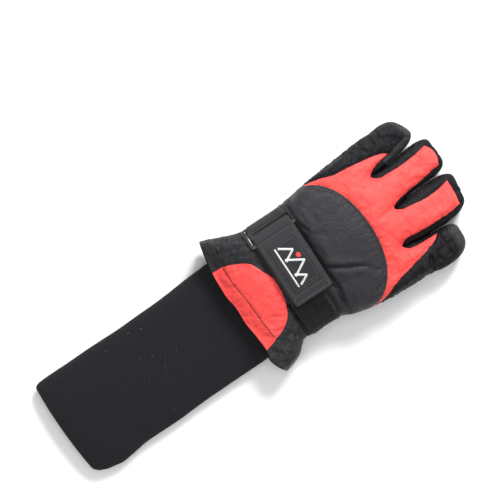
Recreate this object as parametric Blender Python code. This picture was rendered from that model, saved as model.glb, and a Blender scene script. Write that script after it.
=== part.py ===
"""Ski glove for the right hand, lying palm down with its thumb folded beneath the palm.

The knit cuff points along -Y, the fingertips along +Y and the little finger is on the +X
side. The glove lies on the plane z = 0. Every size in this file is in millimetres, and
make_object turns a mesh into metres.

Every soft layer is part of a tube: a row of rounded sections along Y. An inset moves a
layer inwards from the outer face of the shell fabric, and a negative inset lays it on top.
"""

import math
from collections import namedtuple

import bmesh
import bpy
from mathutils import Matrix, Vector

MM = 0.001
GAP = 0.3  # between neighbouring layers

# The lie of the glove: the thumb lifts the index side of the palm.
PALM_LIFT = 14.3
LIFT_START_Y, LIFT_FULL_Y = -32.0, 19.0
LIFT_FALL_Y, LIFT_END_Y = 127.0, 196.0
LIFT_LOW_START_X, LIFT_LOW_END_X, LITTLE_SIDE_SHARE = -8.0, 60.0, 0.2

# Layers
SHELL = 1.0
HAND_INSULATION, HAND_LINING, ELASTIC = 3.6, 1.2, 0.8
FINGER_LINER = 3.0
THUMB_LINER = 2.2
KNIT_LAYER = 1.0

# Lengthways places
CUFF_END_Y, CUFF_TOP_Y = -199.5, 16.0
HEM_Y, HEM_BINDING_Y = -18.5, -20.3
WRIST_Y = 20.8
KNUCKLE_Y, MIDDLE_KNUCKLE_Y = 131.0, 163.0
JOINT_GAP = 0.8

# Roundness: the power of a section's superellipse, and half the angle of a side panel
BODY_POWER, FINGER_POWER, CUFF_POWER, TIP_POWER = 2.6, 2.5, 5.0, 3.0
SIDE_ANGLE, SEAM_ANGLE = 33.0, 0.7

# reach, length and shrink round a tube's end, bow curves its edge, and raised is the share
# of the palm's lift that it follows
Station = namedtuple("Station", "y left right bottom top reach length shrink bow raised")


def station(y, left, right, bottom, top, bow=0.0, raised=1.0):
    return Station(y, left, right, bottom, top, 0.0, 0.0, 1.0, bow, raised)


def smooth(low, high, value):
    """0 below low, 1 above high, and an even S between them."""
    t = min(max((value - low) / (high - low), 0.0), 1.0)
    return t * t * (3.0 - 2.0 * t)


def lift(x, y):
    """How far the glove's underside is raised above the plane it lies on."""
    along = smooth(LIFT_START_Y, LIFT_FULL_Y, y) - smooth(LIFT_FALL_Y, LIFT_END_Y, y)
    across = 1.0 - (1.0 - LITTLE_SIDE_SHARE) * smooth(LIFT_LOW_START_X, LIFT_LOW_END_X, x)
    return PALM_LIFT * along * across


# ------------------------------------------------------------------ sections of the glove

HAND = [
    station(WRIST_Y + GAP, -53.8, 53.6, 0.0, 27.0),
    station(41.5, -53.8, 54.6, 0.0, 29.0),
    station(62.0, -53.8, 59.0, 0.0, 31.0),
    station(82.0, -57.2, 64.0, 0.0, 34.0),
    station(106.0, -60.2, 66.6, 0.0, 34.0),
    station(KNUCKLE_Y - JOINT_GAP / 2, -61.8, 66.8, 0.0, 31.0),
]

GAUNTLET = [
    station(HEM_Y, -67.5, 69.4, -1.0, 30.0, bow=3.5),
    station(-6.0, -64.0, 67.6, -1.0, 30.0, bow=1.5),
    station(5.0, -60.0, 63.0, -0.5, 29.0),
    station(12.5, -57.0, 55.4, 0.0, 28.0),
    station(WRIST_Y - GAP, -54.6, 53.6, 0.0, 27.0),
]

CUFF = [
    station(CUFF_END_Y, -40.8, 49.0, -1.5, 13.0, bow=4.0),
    station(-191.0, -41.5, 52.0, -1.5, 16.0, bow=2.0),
    station(-176.0, -41.7, 56.0, -1.5, 16.0),
    station(-150.0, -42.0, 53.2, -1.5, 16.0),
    station(-60.0, -44.0, 51.6, -1.5, 16.0),
    station(-38.0, -46.0, 51.2, -1.5, 16.5),
    station(-25.0, -47.0, 51.0, 3.6, 20.5),
    station(-10.0, -46.0, 49.0, 3.8, 21.0),
    station(CUFF_TOP_Y, -43.0, 44.0, 4.4, 22.0),
]

THUMB_X, THUMB_PIVOT_Y = -36.0, 62.0
THUMB_HALF, THUMB_HIGH = 16.0, PALM_LIFT - 0.5
THUMB_BACK_Y, THUMB_ROUND_Y, THUMB_TIP_Y = 44.0, 112.0, 127.0
THUMB_MOUTH_R = 10.5

# Where one finger ends and the next begins, as (x at the knuckles, slope dx/dy)
INDEX_MIDDLE, MIDDLE_RING, RING_LITTLE = (-30.3, -0.096), (4.9, -0.105), (34.0, 0.123)
BETWEEN = 0.9  # from such a line to the finger's side, so that each finger can bend alone


def line_x(line, y, side=0.0):
    return line[0] + line[1] * (y - KNUCKLE_Y) + side * BETWEEN


# name: (left side, right side, y where the tip starts to round, y of the tip)
# A side is a line between fingers, or its own x at the knuckles, the middle and the tip.
FINGERS = {
    "index": ((-62.0, -64.0, -64.0), INDEX_MIDDLE, 173.0, 190.5),
    "middle": (INDEX_MIDDLE, MIDDLE_RING, 186.0, 201.3),
    "ring": (MIDDLE_RING, RING_LITTLE, 184.0, 201.3),
    "little": (RING_LITTLE, (66.6, 70.0, 70.2), 164.0, 180.6),
}
FINGER_BASE_HIGH, FINGER_MIDDLE_HIGH, FINGER_TIP_HIGH = 27.0, 25.0, 23.0
AXIS_DROP = 0.2  # a finger's joints lie this far below its lowest edge
TIP_STEPS = (0.55, 0.84, 0.88, 0.97)  # the back and palm panels end at the third from last


def side_at(side, level, y, toward):
    """The x of a finger's side at one of its three levels, knuckle, middle or tip."""
    if len(side) == 2:
        return line_x(side, y, toward)
    return side[level]


def rounded_end(last, tip_y, steps=TIP_STEPS, power=TIP_POWER):
    """Stations that close a tube over from its last full section to its tip."""
    return [
        last._replace(
            reach=math.copysign(step, tip_y - last.y),
            length=abs(tip_y - last.y),
            shrink=(1.0 - step**power) ** (1.0 / power),
        )
        for step in steps
    ]


def finger_stations(name):
    """The sections of a finger's base and of its tip, which the middle joint parts."""
    left, right, round_y, tip_y = FINGERS[name]

    def section(y, level, high):
        return station(y, side_at(left, level, y, 1.0), side_at(right, level, y, -1.0), 0.0, high)

    half = JOINT_GAP / 2
    base = [
        section(KNUCKLE_Y + half, 0, FINGER_BASE_HIGH),
        section(MIDDLE_KNUCKLE_Y - half, 1, FINGER_MIDDLE_HIGH),
    ]
    tip = [section(MIDDLE_KNUCKLE_Y + half, 1, FINGER_MIDDLE_HIGH)]
    if round_y - MIDDLE_KNUCKLE_Y > 5.0:
        tip.append(section(round_y, 2, FINGER_TIP_HIGH))
    return base, tip + rounded_end(tip[-1], tip_y)


def finger_hinge(tube):
    """The middle of a finger joint's axis: the little finger's side of the palm is lowest."""
    y = tube[0].y - JOINT_GAP / 2
    return ((tube[0].left + tube[0].right) / 2, y, lift(tube[0].right, y) - AXIS_DROP)


def thumb_stations():
    """The thumb's sections from its rounded heel, under the palm's mouth, to its tip."""
    edge = (THUMB_X - THUMB_HALF, THUMB_X + THUMB_HALF, -0.8, THUMB_HIGH)
    heel = station(THUMB_PIVOT_Y - 6.0, *edge, raised=0.0)
    last = heel._replace(y=THUMB_ROUND_Y, left=heel.left + 1.5, right=heel.right - 1.5)
    back, tip = rounded_end(heel, THUMB_BACK_Y), rounded_end(last, THUMB_TIP_Y)
    return list(reversed(back)) + [heel, last] + tip


# ----------------------------------------------------------------------- making the meshes


def section_point(place, inset, angle, power):
    """The point of a section at an angle in degrees, 0 at the +X side and 90 on top."""
    c, s = math.cos(math.radians(angle)), math.sin(math.radians(angle))
    wide = ((place.right - place.left) / 2 - inset) * place.shrink
    high = ((place.top - place.bottom) / 2 - inset) * place.shrink
    x = (place.left + place.right) / 2 + wide * math.copysign(abs(c) ** (2 / power), c)
    z = (place.top + place.bottom) / 2 + high * math.copysign(abs(s) ** (2 / power), s)
    y = place.y + place.reach * (place.length - inset) - place.bow * s * s
    return Vector((x, y, max(z, inset) + lift(x, y) * place.raised))


def sector(start, end, count):
    return [start + (end - start) * k / (count - 1) for k in range(count)]


def ring_angles(side_count, face_count):
    """Angles round a whole section, with a narrow cell at each of the four seams."""
    inner = SIDE_ANGLE - SEAM_ANGLE
    outer = SIDE_ANGLE + SEAM_ANGLE
    return (
        sector(-inner, inner, side_count)
        + sector(outer, 180.0 - outer, face_count)
        + sector(180.0 - inner, 180.0 + inner, side_count)
        + sector(180.0 + outer, 360.0 - outer, face_count)
    )


HAND_ANGLES = ring_angles(3, 9)
FINGER_ANGLES = ring_angles(3, 5)
CUFF_ANGLES = [15.0 * k for k in range(24)]


def anywhere(angle):
    return True


def on_back(angle):
    return SIDE_ANGLE + SEAM_ANGLE < angle < 180.0 - SIDE_ANGLE - SEAM_ANGLE


def on_palm(angle):
    return 180.0 + SIDE_ANGLE + SEAM_ANGLE < angle < 360.0 - SIDE_ANGLE - SEAM_ANGLE


def on_index_side(angle):
    return abs(angle - 180.0) < SIDE_ANGLE - SEAM_ANGLE


def on_little_side(angle):
    return abs((angle + 180.0) % 360.0 - 180.0) < SIDE_ANGLE - SEAM_ANGLE


def on_sides(angle):
    return on_index_side(angle) or on_little_side(angle)


def on_sides_and_palm(angle):
    return not SIDE_ANGLE - SEAM_ANGLE < angle < 180.0 - SIDE_ANGLE + SEAM_ANGLE


def layer(stations, angles, outset, inset, where, power, ends=(), closing=False):
    """The solid between two insets of a tube, in the cells where(angle) picks.

    ends holds the tube's closed ends, 0 and/or -1. A closing layer covers their last cells
    all round and caps them, and any other layer stops two cells short of them.
    """
    rows, columns = len(stations), len(angles)
    points = [
        section_point(place, depth, angle, power)
        for depth in (outset, inset)
        for place in stations
        for angle in angles
    ]
    inner_start = rows * columns
    faces = []
    for column in range(columns):
        after = (column + 1) % columns
        span = (angles[after] - angles[column]) % 360.0
        picked = where((angles[column] + span / 2) % 360.0)
        for row in range(rows - 1):
            from_end = min([row if end == 0 else rows - 2 - row for end in ends], default=rows)
            if closing and not (picked or from_end == 0):
                continue
            if not closing and not (picked and from_end >= 2):
                continue
            here, ahead = row * columns, (row + 1) * columns
            faces.append((here + column, ahead + column, ahead + after))
            faces.append((here + column, ahead + after, here + after))
    if closing and 0 in ends:
        faces.append(tuple(range(columns)))
    if closing and -1 in ends:
        faces.append(tuple(reversed(range((rows - 1) * columns, rows * columns))))
    used = {}
    for face in faces:
        for a, b in zip(face, face[1:] + face[:1]):
            used[a, b] = True
    rims = [(b, a, a + inner_start, b + inner_start) for a, b in used if (b, a) not in used]
    inner = [tuple(i + inner_start for i in reversed(face)) for face in faces]
    mesh = bmesh.new()
    corners = [mesh.verts.new(point) for point in points]
    for face in faces + inner + rims:
        mesh.faces.new([corners[i] for i in face])
    bmesh.ops.delete(mesh, geom=[v for v in mesh.verts if not v.link_faces], context="VERTS")
    bmesh.ops.recalc_face_normals(mesh, faces=mesh.faces)
    return mesh


def make_object(name, mesh, material, collection, origin=(0.0, 0.0, 0.0)):
    """Turns a mesh in millimetres into an object in metres, with its origin where asked."""
    bmesh.ops.transform(mesh, matrix=Matrix.Translation(-Vector(origin)), verts=mesh.verts)
    bmesh.ops.scale(mesh, vec=Vector((MM, MM, MM)), verts=mesh.verts)
    data = bpy.data.meshes.new(name)
    mesh.to_mesh(data)
    mesh.free()
    data.shade_smooth()
    data.set_sharp_from_angle(angle=math.radians(40.0))
    item = bpy.data.objects.new(name, data)
    item.location = Vector(origin) * MM
    data.materials.append(material)
    collection.objects.link(item)
    return item


def prism(name, outlines, bottom, top, cutters):
    """A flat outline, with holes if it has more than one loop, extruded upright."""
    curve = bpy.data.curves.new(name, "CURVE")
    curve.dimensions = "2D"
    curve.fill_mode = "BOTH"
    curve.extrude = (top - bottom) / 2 * MM
    for outline in outlines:
        spline = curve.splines.new("POLY")
        spline.points.add(len(outline) - 1)
        for point, (x, y) in zip(spline.points, outline):
            point.co = (x * MM, y * MM, 0.0, 1.0)
        spline.use_cyclic_u = True
    drawn = bpy.data.objects.new(name, curve)
    drawn.location.z = (top + bottom) / 2 * MM
    cutters.objects.link(drawn)
    bpy.context.view_layer.update()
    data = bpy.data.meshes.new_from_object(drawn.evaluated_get(bpy.context.evaluated_depsgraph_get()))
    welded = bmesh.new()
    welded.from_mesh(data)
    bmesh.ops.remove_doubles(welded, verts=welded.verts, dist=0.01 * MM)
    welded.to_mesh(data)
    welded.free()
    cutter = bpy.data.objects.new(name + "_cutter", data)
    cutter.matrix_world = drawn.matrix_world
    bpy.data.objects.remove(drawn)
    return as_cutter(cutter, cutters)


def as_cutter(cutter, cutters):
    cutter.hide_render = True
    cutter.display_type = "WIRE"
    cutters.objects.link(cutter)
    return cutter


def cut(item, cutter, operation="INTERSECT"):
    boolean = item.modifiers.new("trim", "BOOLEAN")
    boolean.operation = operation
    boolean.object = cutter


# ---------------------------------------------------------------------------- the outlines


def box_outline(left, right, low, high, corner=0.0, steps=3):
    """A rectangle whose corners are rounded with the radius corner."""
    if not corner:
        return [(left, low), (right, low), (right, high), (left, high)]
    centres = (
        (right - corner, high - corner, 0.0),
        (left + corner, high - corner, 90.0),
        (left + corner, low + corner, 180.0),
        (right - corner, low + corner, 270.0),
    )
    return [
        (
            x + corner * math.cos(math.radians(start + 90.0 * k / steps)),
            y + corner * math.sin(math.radians(start + 90.0 * k / steps)),
        )
        for x, y, start in centres
        for k in range(steps + 1)
    ]


def arch_outline(middle, half, foot, rise, floor, steps=14, power=2.2):
    """A rectangle from floor to foot with an arch on top that rises above its foot."""
    arch = []
    for k in range(1, steps):
        u = -math.cos(math.pi * k / steps)
        arch.append((middle - half * u, foot + rise * (1.0 - abs(u) ** power) ** (1.0 / power)))
    return [(middle - half, floor), (middle + half, floor), (middle + half, foot)] + arch + [
        (middle - half, foot)
    ]


# The webbing strap round the wrist, and what is on it
STRAP_LOW_Y, STRAP_HIGH_Y = 24.0, 62.0
TAB_LEFT, TAB_RIGHT = -44.5, 28.0
RING_LEFT, RING_RIGHT, RING_LOW_Y, RING_HIGH_Y, RING_BAR = -51.0, -35.5, 21.4, 64.0, 3.2
ANCHOR_RIGHT = -46.6
ELASTIC_Y = (26.0, 40.0)
LOOP_PAD_LEFT = 8.0
RING_AXIS_DROP = 1.3  # the ring turns about a line just under its left edge
KNUCKLE_ARCH = dict(middle=3.0, half=60.5, foot=75.0, rise=41.0)
GAUNTLET_ARCH = dict(middle=3.5, half=41.0, foot=-17.0, rise=37.5)
PALM_PATCH = dict(left=-7.0, right=38.0, low=54.0, high=116.0, corner=8.0)

# Insets of what lies on the shell, negative because it is outside, as (outer, inner)
KNUCKLE_FOAM, KNUCKLE_COVER = (-2.4, -GAP), (-3.4, -2.7)
ANCHOR, LOOP_PAD = (-1.3, -GAP), (-1.5, -GAP)
RING = (-4.2, -1.7)
HOOK_PATCH_BOX = (11.0, 25.0, 26.0, 51.0)  # left, right, low and high edge
LABEL_BOX, LABEL_CORNER = (-29.0, 17.5, 30.5, 59.0), 3.0
PAST_SIDE = 70.0  # beyond the hand on either side, so that a piece runs down the side
CUT_FROM_Z, CUT_TO_Z = -20.0, 90.0
WORLD_ORIGIN = (0.0, 0.0, 0.0)
HOOK_PATCH, TAB, LABEL = (-4.3, -1.9), (-6.3, -4.7), (-7.1, -6.6)
PATCH_LAYER = (-1.3, -GAP)


def applied_piece(name, tube, insets, where, outlines, material, groups, origin=(0.0, 0.0, 0.0)):
    """A piece that lies on the shell of a tube and fills an outline seen from above."""
    parts, cutters = groups
    mesh = layer(tube, HAND_ANGLES, insets[0], insets[1], where, BODY_POWER)
    item = make_object(name, mesh, material, parts, origin)
    cut(item, prism(name, outlines, CUT_FROM_Z, CUT_TO_Z, cutters))
    return item


def above_sides(angle):
    """The back and both sides, where the strap's pieces can lie."""
    return -SIDE_ANGLE < (angle + 180.0) % 360.0 - 180.0 < 180.0 + SIDE_ANGLE and not on_palm(angle)


# ------------------------------------------------------------------------------- the parts


def make_hand(paint, groups):
    """The hand's shell panels, its padding and what is sewn on it."""
    parts, cutters = groups

    def panel(name, outset, inset, where, material, tube=HAND):
        mesh = layer(tube, HAND_ANGLES, outset, inset, where, BODY_POWER)
        return make_object(name, mesh, material, parts)

    panel("hand_back_panel", 0.0, SHELL, on_back, paint["red_shell"])
    panel("hand_index_side_panel", 0.0, SHELL, on_index_side, paint["black_shell"])
    panel("hand_little_side_panel", 0.0, SHELL, on_little_side, paint["black_shell"])
    insulation = SHELL + GAP
    lining = insulation + HAND_INSULATION + GAP
    mouthed = [
        panel("palm_panel", 0.0, SHELL, on_palm, paint["black_shell"]),
        panel("hand_insulation", insulation, insulation + HAND_INSULATION, anywhere, paint["wadding"]),
        panel("hand_lining", lining, lining + HAND_LINING, anywhere, paint["fleece"]),
    ]
    mouth = thumb_mouth(cutters)
    for item in mouthed:
        cut(item, mouth, "DIFFERENCE")

    arch = arch_outline(floor=STRAP_HIGH_Y + 3.0, **KNUCKLE_ARCH)
    foam = dict(KNUCKLE_ARCH, half=KNUCKLE_ARCH["half"] - 6.0, rise=KNUCKLE_ARCH["rise"] - 6.0)
    foam_arch = arch_outline(floor=STRAP_HIGH_Y + 5.0, **foam)
    applied_piece("knuckle_foam", HAND, KNUCKLE_FOAM, on_back, [foam_arch], paint["wadding"], groups)
    applied_piece("knuckle_cover", HAND, KNUCKLE_COVER, on_back, [arch], paint["grey_ripstop"], groups)
    patch = box_outline(**PALM_PATCH)
    applied_piece("palm_patch", HAND, PATCH_LAYER, on_palm, [patch], paint["leather"], groups)
    within = lining + HAND_LINING + GAP
    band = box_outline(-70.0, 70.0, *ELASTIC_Y)
    depth = (within, within + ELASTIC)
    applied_piece("wrist_elastic", HAND, depth, on_palm, [band], paint["webbing"], groups)


def thumb_mouth(cutters):
    """An upright cylinder through the palm into the thumb, on the thumb's own axis."""
    low, high = THUMB_HIGH / 2, PALM_LIFT + HAND[2].top / 2
    mesh = bmesh.new()
    bmesh.ops.create_cone(
        mesh,
        cap_ends=True,
        segments=16,
        radius1=THUMB_MOUTH_R * MM,
        radius2=THUMB_MOUTH_R * MM,
        depth=(high - low) * MM,
    )
    data = bpy.data.meshes.new("thumb_mouth")
    mesh.to_mesh(data)
    mesh.free()
    cutter = bpy.data.objects.new("thumb_mouth", data)
    cutter.location = Vector((THUMB_X, THUMB_PIVOT_Y, (low + high) / 2)) * MM
    return as_cutter(cutter, cutters)


def make_thumb(paint, groups):
    """The thumb, which turns about an upright axis through its mouth in the palm."""
    parts, cutters = groups
    tube, both = thumb_stations(), (0, -1)
    pivot = (THUMB_X, THUMB_PIVOT_Y, THUMB_HIGH)
    outer = layer(tube, FINGER_ANGLES, 0.0, SHELL, on_sides_and_palm, BODY_POWER, both, True)
    make_object("thumb_wipe_panel", outer, paint["smooth_grey"], parts, pivot)
    top = layer(tube, FINGER_ANGLES, 0.0, SHELL, on_back, BODY_POWER, both)
    inner = SHELL + GAP
    liner = layer(
        tube, FINGER_ANGLES, inner, inner + THUMB_LINER, anywhere, BODY_POWER, both, True
    )
    mouth = thumb_mouth(cutters)
    cut(make_object("thumb_palm_panel", top, paint["leather"], parts, pivot), mouth, "DIFFERENCE")
    cut(make_object("thumb_liner", liner, paint["fleece"], parts, pivot), mouth, "DIFFERENCE")


def make_finger(name, paint, parts):
    """One finger: its base turns on the hand's edge, and its tip turns on the base."""
    base, tip = finger_stations(name)
    palm_paint = paint["leather"] if name in ("index", "middle") else paint["black_shell"]
    inner = (SHELL + GAP, SHELL + GAP + FINGER_LINER)
    shell = (0.0, SHELL)
    pieces = [
        ("back_panel_base", base, shell, on_back, False, paint["red_shell"]),
        ("underside_base", base, shell, on_sides_and_palm, False, paint["black_shell"]),
        ("liner_base", base, inner, anywhere, False, paint["fleece"]),
        ("back_panel_tip", tip, shell, on_back, False, paint["red_shell"]),
        ("gusset_tip", tip, shell, on_sides, True, paint["black_shell"]),
        ("palm_panel_tip", tip, shell, on_palm, False, palm_paint),
        ("liner_tip", tip, inner, anywhere, True, paint["fleece"]),
    ]
    for piece, tube, (outset, inset), where, closing, material in pieces:
        ends = (-1,) if tube is tip else ()
        mesh = layer(tube, FINGER_ANGLES, outset, inset, where, FINGER_POWER, ends, closing)
        make_object(f"{name}_{piece}", mesh, material, parts, finger_hinge(tube))


def make_gauntlet(paint, groups):
    """The flared gauntlet below the wrist strap, its red patch, lining and hem."""
    parts, cutters = groups
    shell = layer(GAUNTLET, HAND_ANGLES, 0.0, SHELL, anywhere, BODY_POWER)
    make_object("gauntlet_shell", shell, paint["black_shell"], parts)
    lining = layer(GAUNTLET, HAND_ANGLES, SHELL + GAP, 2 * SHELL + GAP, anywhere, BODY_POWER)
    make_object("gauntlet_lining", lining, paint["fleece"], parts)
    top = GAUNTLET[0]
    binding = [top._replace(y=HEM_BINDING_Y), top._replace(y=HEM_Y - GAP)]
    hem = layer(binding, HAND_ANGLES, 0.0, 2 * SHELL + GAP, anywhere, BODY_POWER)
    make_object("gauntlet_hem_binding", hem, paint["black_shell"], parts)
    patch = arch_outline(floor=HEM_Y - 8.0, **GAUNTLET_ARCH)
    applied_piece("gauntlet_patch", GAUNTLET, PATCH_LAYER, on_back, [patch], paint["red_shell"], groups)


def make_cuff(paint, parts):
    """The long rib-knit cuff, two layers that are folded at the open end."""
    inner = KNIT_LAYER + GAP
    for name, outset in (("knit_cuff_outer_layer", 0.0), ("knit_cuff_inner_layer", inner)):
        mesh = layer(CUFF, CUFF_ANGLES, outset, outset + KNIT_LAYER, anywhere, CUFF_POWER)
        make_object(name, mesh, paint["rib_knit"], parts)


def surface_z(tube, x, y, inset):
    """The height of the top of a layer above a point of the plan."""
    after = next(k for k, place in enumerate(tube) if place.y >= y)
    low, high = tube[after - 1], tube[after]
    t = (y - low.y) / (high.y - low.y)
    left, right, top = (
        getattr(low, side) * (1 - t) + getattr(high, side) * t for side in ("left", "right", "top")
    )
    u = abs(x - (left + right) / 2) / ((right - left) / 2 - inset)
    rise = max(1.0 - u**BODY_POWER, 0.0) ** (1.0 / BODY_POWER)
    return top / 2 + (top / 2 - inset) * rise + lift(x, y)


def make_strap(paint, groups):
    """The wrist strap: its anchor, its plastic ring, its tab and the pad that it grips."""
    low, high = STRAP_LOW_Y, STRAP_HIGH_Y
    middle = (low + high) / 2
    ring_z = surface_z(HAND, RING_LEFT, middle, RING[1]) - RING_AXIS_DROP
    ring_origin = (RING_LEFT, middle, ring_z)
    tab_origin = (TAB_LEFT, middle, surface_z(HAND, TAB_LEFT, middle, TAB[1]))
    frame = [
        box_outline(RING_LEFT, RING_RIGHT, RING_LOW_Y, RING_HIGH_Y, 3.0),
        box_outline(
            RING_LEFT + RING_BAR,
            RING_RIGHT - RING_BAR,
            RING_LOW_Y + RING_BAR,
            RING_HIGH_Y - RING_BAR,
            1.5,
        ),
    ]
    pieces = [
        ("strap_anchor", ANCHOR, above_sides, [box_outline(-PAST_SIDE, ANCHOR_RIGHT, low, high - 1.0)],
         "webbing", WORLD_ORIGIN),
        ("loop_pad", LOOP_PAD, above_sides, [box_outline(LOOP_PAD_LEFT, PAST_SIDE, low - 4.0, high - 10.0)],
         "loop_pile", WORLD_ORIGIN),
        ("buckle_ring", RING, above_sides, frame, "gloss_black", ring_origin),
        ("strap_tab", TAB, on_back, [box_outline(TAB_LEFT, TAB_RIGHT, low, high, 2.0)],
         "webbing", tab_origin),
        ("hook_patch", HOOK_PATCH, on_back, [box_outline(*HOOK_PATCH_BOX)],
         "hook_tape", tab_origin),
        ("label_patch", LABEL, on_back, [box_outline(*LABEL_BOX, LABEL_CORNER)],
         "black_shell", tab_origin),
    ]
    for name, insets, where, outlines, slot, origin in pieces:
        applied_piece(name, HAND, insets, where, outlines, paint[slot], groups, origin)


COLOURS = {
    # slot: (linear colour, roughness)
    "red_shell": ((0.93, 0.08, 0.07), 0.75),
    "black_shell": ((0.025, 0.025, 0.028), 0.8),
    "grey_ripstop": ((0.045, 0.045, 0.052), 0.7),
    "leather": ((0.035, 0.035, 0.038), 0.55),
    "smooth_grey": ((0.02, 0.02, 0.023), 0.65),
    "webbing": ((0.04, 0.04, 0.043), 0.8),
    "loop_pile": ((0.015, 0.015, 0.016), 0.95),
    "hook_tape": ((0.02, 0.02, 0.02), 0.6),
    "gloss_black": ((0.01, 0.01, 0.01), 0.2),
    "rib_knit": ((0.017, 0.017, 0.02), 0.95),
    "wadding": ((0.75, 0.75, 0.72), 0.95),
    "fleece": ((0.05, 0.05, 0.055), 0.95),
}


def make_materials():
    paint = {}
    for slot, (colour, roughness) in COLOURS.items():
        material = bpy.data.materials.new(slot)
        material.use_nodes = True
        shader = material.node_tree.nodes["Principled BSDF"]
        shader.inputs["Base Color"].default_value = (*colour, 1.0)
        shader.inputs["Roughness"].default_value = roughness
        shader.inputs["Metallic"].default_value = 0.0
        paint[slot] = material
    return paint


def main():
    for item in list(bpy.data.objects):
        bpy.data.objects.remove(item)
    parts = bpy.data.collections.new("ski_glove")
    cutters = bpy.data.collections.new("cutters")
    for collection in (parts, cutters):
        bpy.context.scene.collection.children.link(collection)
    groups = (parts, cutters)
    paint = make_materials()
    make_cuff(paint, parts)
    make_gauntlet(paint, groups)
    make_hand(paint, groups)
    make_thumb(paint, groups)
    for name in FINGERS:
        make_finger(name, paint, parts)
    make_strap(paint, groups)


main()
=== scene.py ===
import math
import random

import bpy
import numpy as np
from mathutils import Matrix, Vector, noise
from mathutils.geometry import delaunay_2d_cdt


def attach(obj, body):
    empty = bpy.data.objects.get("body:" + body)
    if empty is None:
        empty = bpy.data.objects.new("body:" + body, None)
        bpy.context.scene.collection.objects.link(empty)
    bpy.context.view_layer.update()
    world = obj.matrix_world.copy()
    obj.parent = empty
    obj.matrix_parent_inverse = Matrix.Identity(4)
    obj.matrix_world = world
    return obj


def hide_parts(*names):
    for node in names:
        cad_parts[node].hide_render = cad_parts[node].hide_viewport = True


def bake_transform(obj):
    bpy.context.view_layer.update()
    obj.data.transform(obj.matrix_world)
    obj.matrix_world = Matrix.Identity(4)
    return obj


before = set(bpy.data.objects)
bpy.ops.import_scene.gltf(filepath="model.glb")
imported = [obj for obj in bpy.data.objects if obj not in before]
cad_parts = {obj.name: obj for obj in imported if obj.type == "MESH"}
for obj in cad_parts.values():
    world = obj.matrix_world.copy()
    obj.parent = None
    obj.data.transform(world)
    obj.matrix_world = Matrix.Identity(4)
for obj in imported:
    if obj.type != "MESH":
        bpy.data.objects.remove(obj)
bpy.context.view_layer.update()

# Everything below is in millimetres in the glove's own frame, and becomes metres when a mesh is made.
# The back faces up (+Z), the fingers point along +Y and the thumb is on the -X side, under the palm.
MM = 0.001
UV_PER_MM = 0.01

# --- driving dimensions ---
PALM_LIFT = 14.3
LIFT_START_Y, LIFT_FULL_Y = -32.0, 19.0
LIFT_FALL_Y, LIFT_END_Y = 127.0, 196.0
LIFT_LOW_START_X, LIFT_LOW_END_X, LITTLE_SIDE_SHARE = -8.0, 60.0, 0.2
THICKNESS = ((-20, 30), (-6, 30), (12, 28), (21, 27), (42, 28.5), (62, 31), (84, 33.5), (106, 33.5),
             (131, 30), (145, 27), (163, 25), (190, 23.5), (203, 22.5))
EDGE_RADIUS = 14.0
WRIST_EXTRA_RADIUS = 12.0
DOME_POWER = 2.35
GRID_STEP = 1.35
CURVE_STEP = 1.25
KEEP_OFF = 0.62
RIM = 1e-3
CUT_LOW, BEND_LOW_END = 143.0, 157.0
LEATHER_ROOT_Y = 130.0
BEND_HIGH_START, BEND_HIGH_END = 158.0, 170.0
SIDE_BAND = 4.8
SEWN, NEAR_SEAM = 1.0, 0.35
CLOTH_SETTINGS = dict(quality=6, mass=0.25, tension_stiffness=12, compression_stiffness=12, shear_stiffness=6,
                      bending_stiffness=0.35, shrink_min=-0.045, use_pressure=True, pin_stiffness=1.0,
                      uniform_pressure_force=3.2, vertex_group_mass="sewn")
FINGERS = ("index", "middle", "ring", "little")

# --- the outline, seen from above ---
INDEX_OUTLINE = [(-66.6, -14.6), (-62.5, -4), (-57.5, 8), (-54, 19), (-53.4, 42), (-53.6, 60), (-56, 74),
                 (-58, 88), (-60, 105), (-62, 130), (-63.8, 150), (-63.4, 160), (-64.6, 171), (-61.8, 182),
                 (-54, 188), (-44, 191.2), (-38.6, 186.5), (-35.4, 177), (-33.2, 162), (-31.9, 150),
                 (-31.2, 143)]
MIDDLE_OUTLINE = [(-31.2, 143), (-30.7, 150), (-32.1, 162), (-34.2, 178), (-35, 190), (-32, 199.3),
                  (-20, 200.8), (-9, 201.2), (-3.6, 197), (-1.2, 186), (-0.7, 170), (0.3, 156),
                  (3.5, 144.5)]
RING_OUTLINE = [(3.5, 144.5), (1.6, 156), (0.5, 170), (0.3, 184), (1.6, 195), (6, 201), (20, 199.8),
                (31, 197.6), (36.4, 190), (38.6, 179), (38.5, 168), (37.5, 155), (36.3, 144),
                (34.8, 131.5)]
LITTLE_OUTLINE = [(34.8, 131.5), (37.5, 144), (39, 158), (40, 172), (43.8, 179.4), (52, 180.5), (61, 178.8),
                  (67.6, 172.2), (70.2, 161), (70, 149), (67.6, 139), (67, 131), (67.5, 120), (66.4, 104),
                  (65.2, 90), (63.2, 76), (59.6, 64), (55.4, 54), (54.2, 40), (54.6, 26), (54.2, 15),
                  (58.5, 9.5), (63.5, 4), (67, -4), (69.4, -13)]
HEM_OUTLINE = [(69.4, -13), (63, -16.8), (54, -19.6), (44.5, -18), (28, -19), (14, -20.4), (0, -19.8),
               (-14, -21.6), (-28, -21.2), (-37.5, -20.6), (-52, -18), (-66.6, -14.6)]

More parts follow.
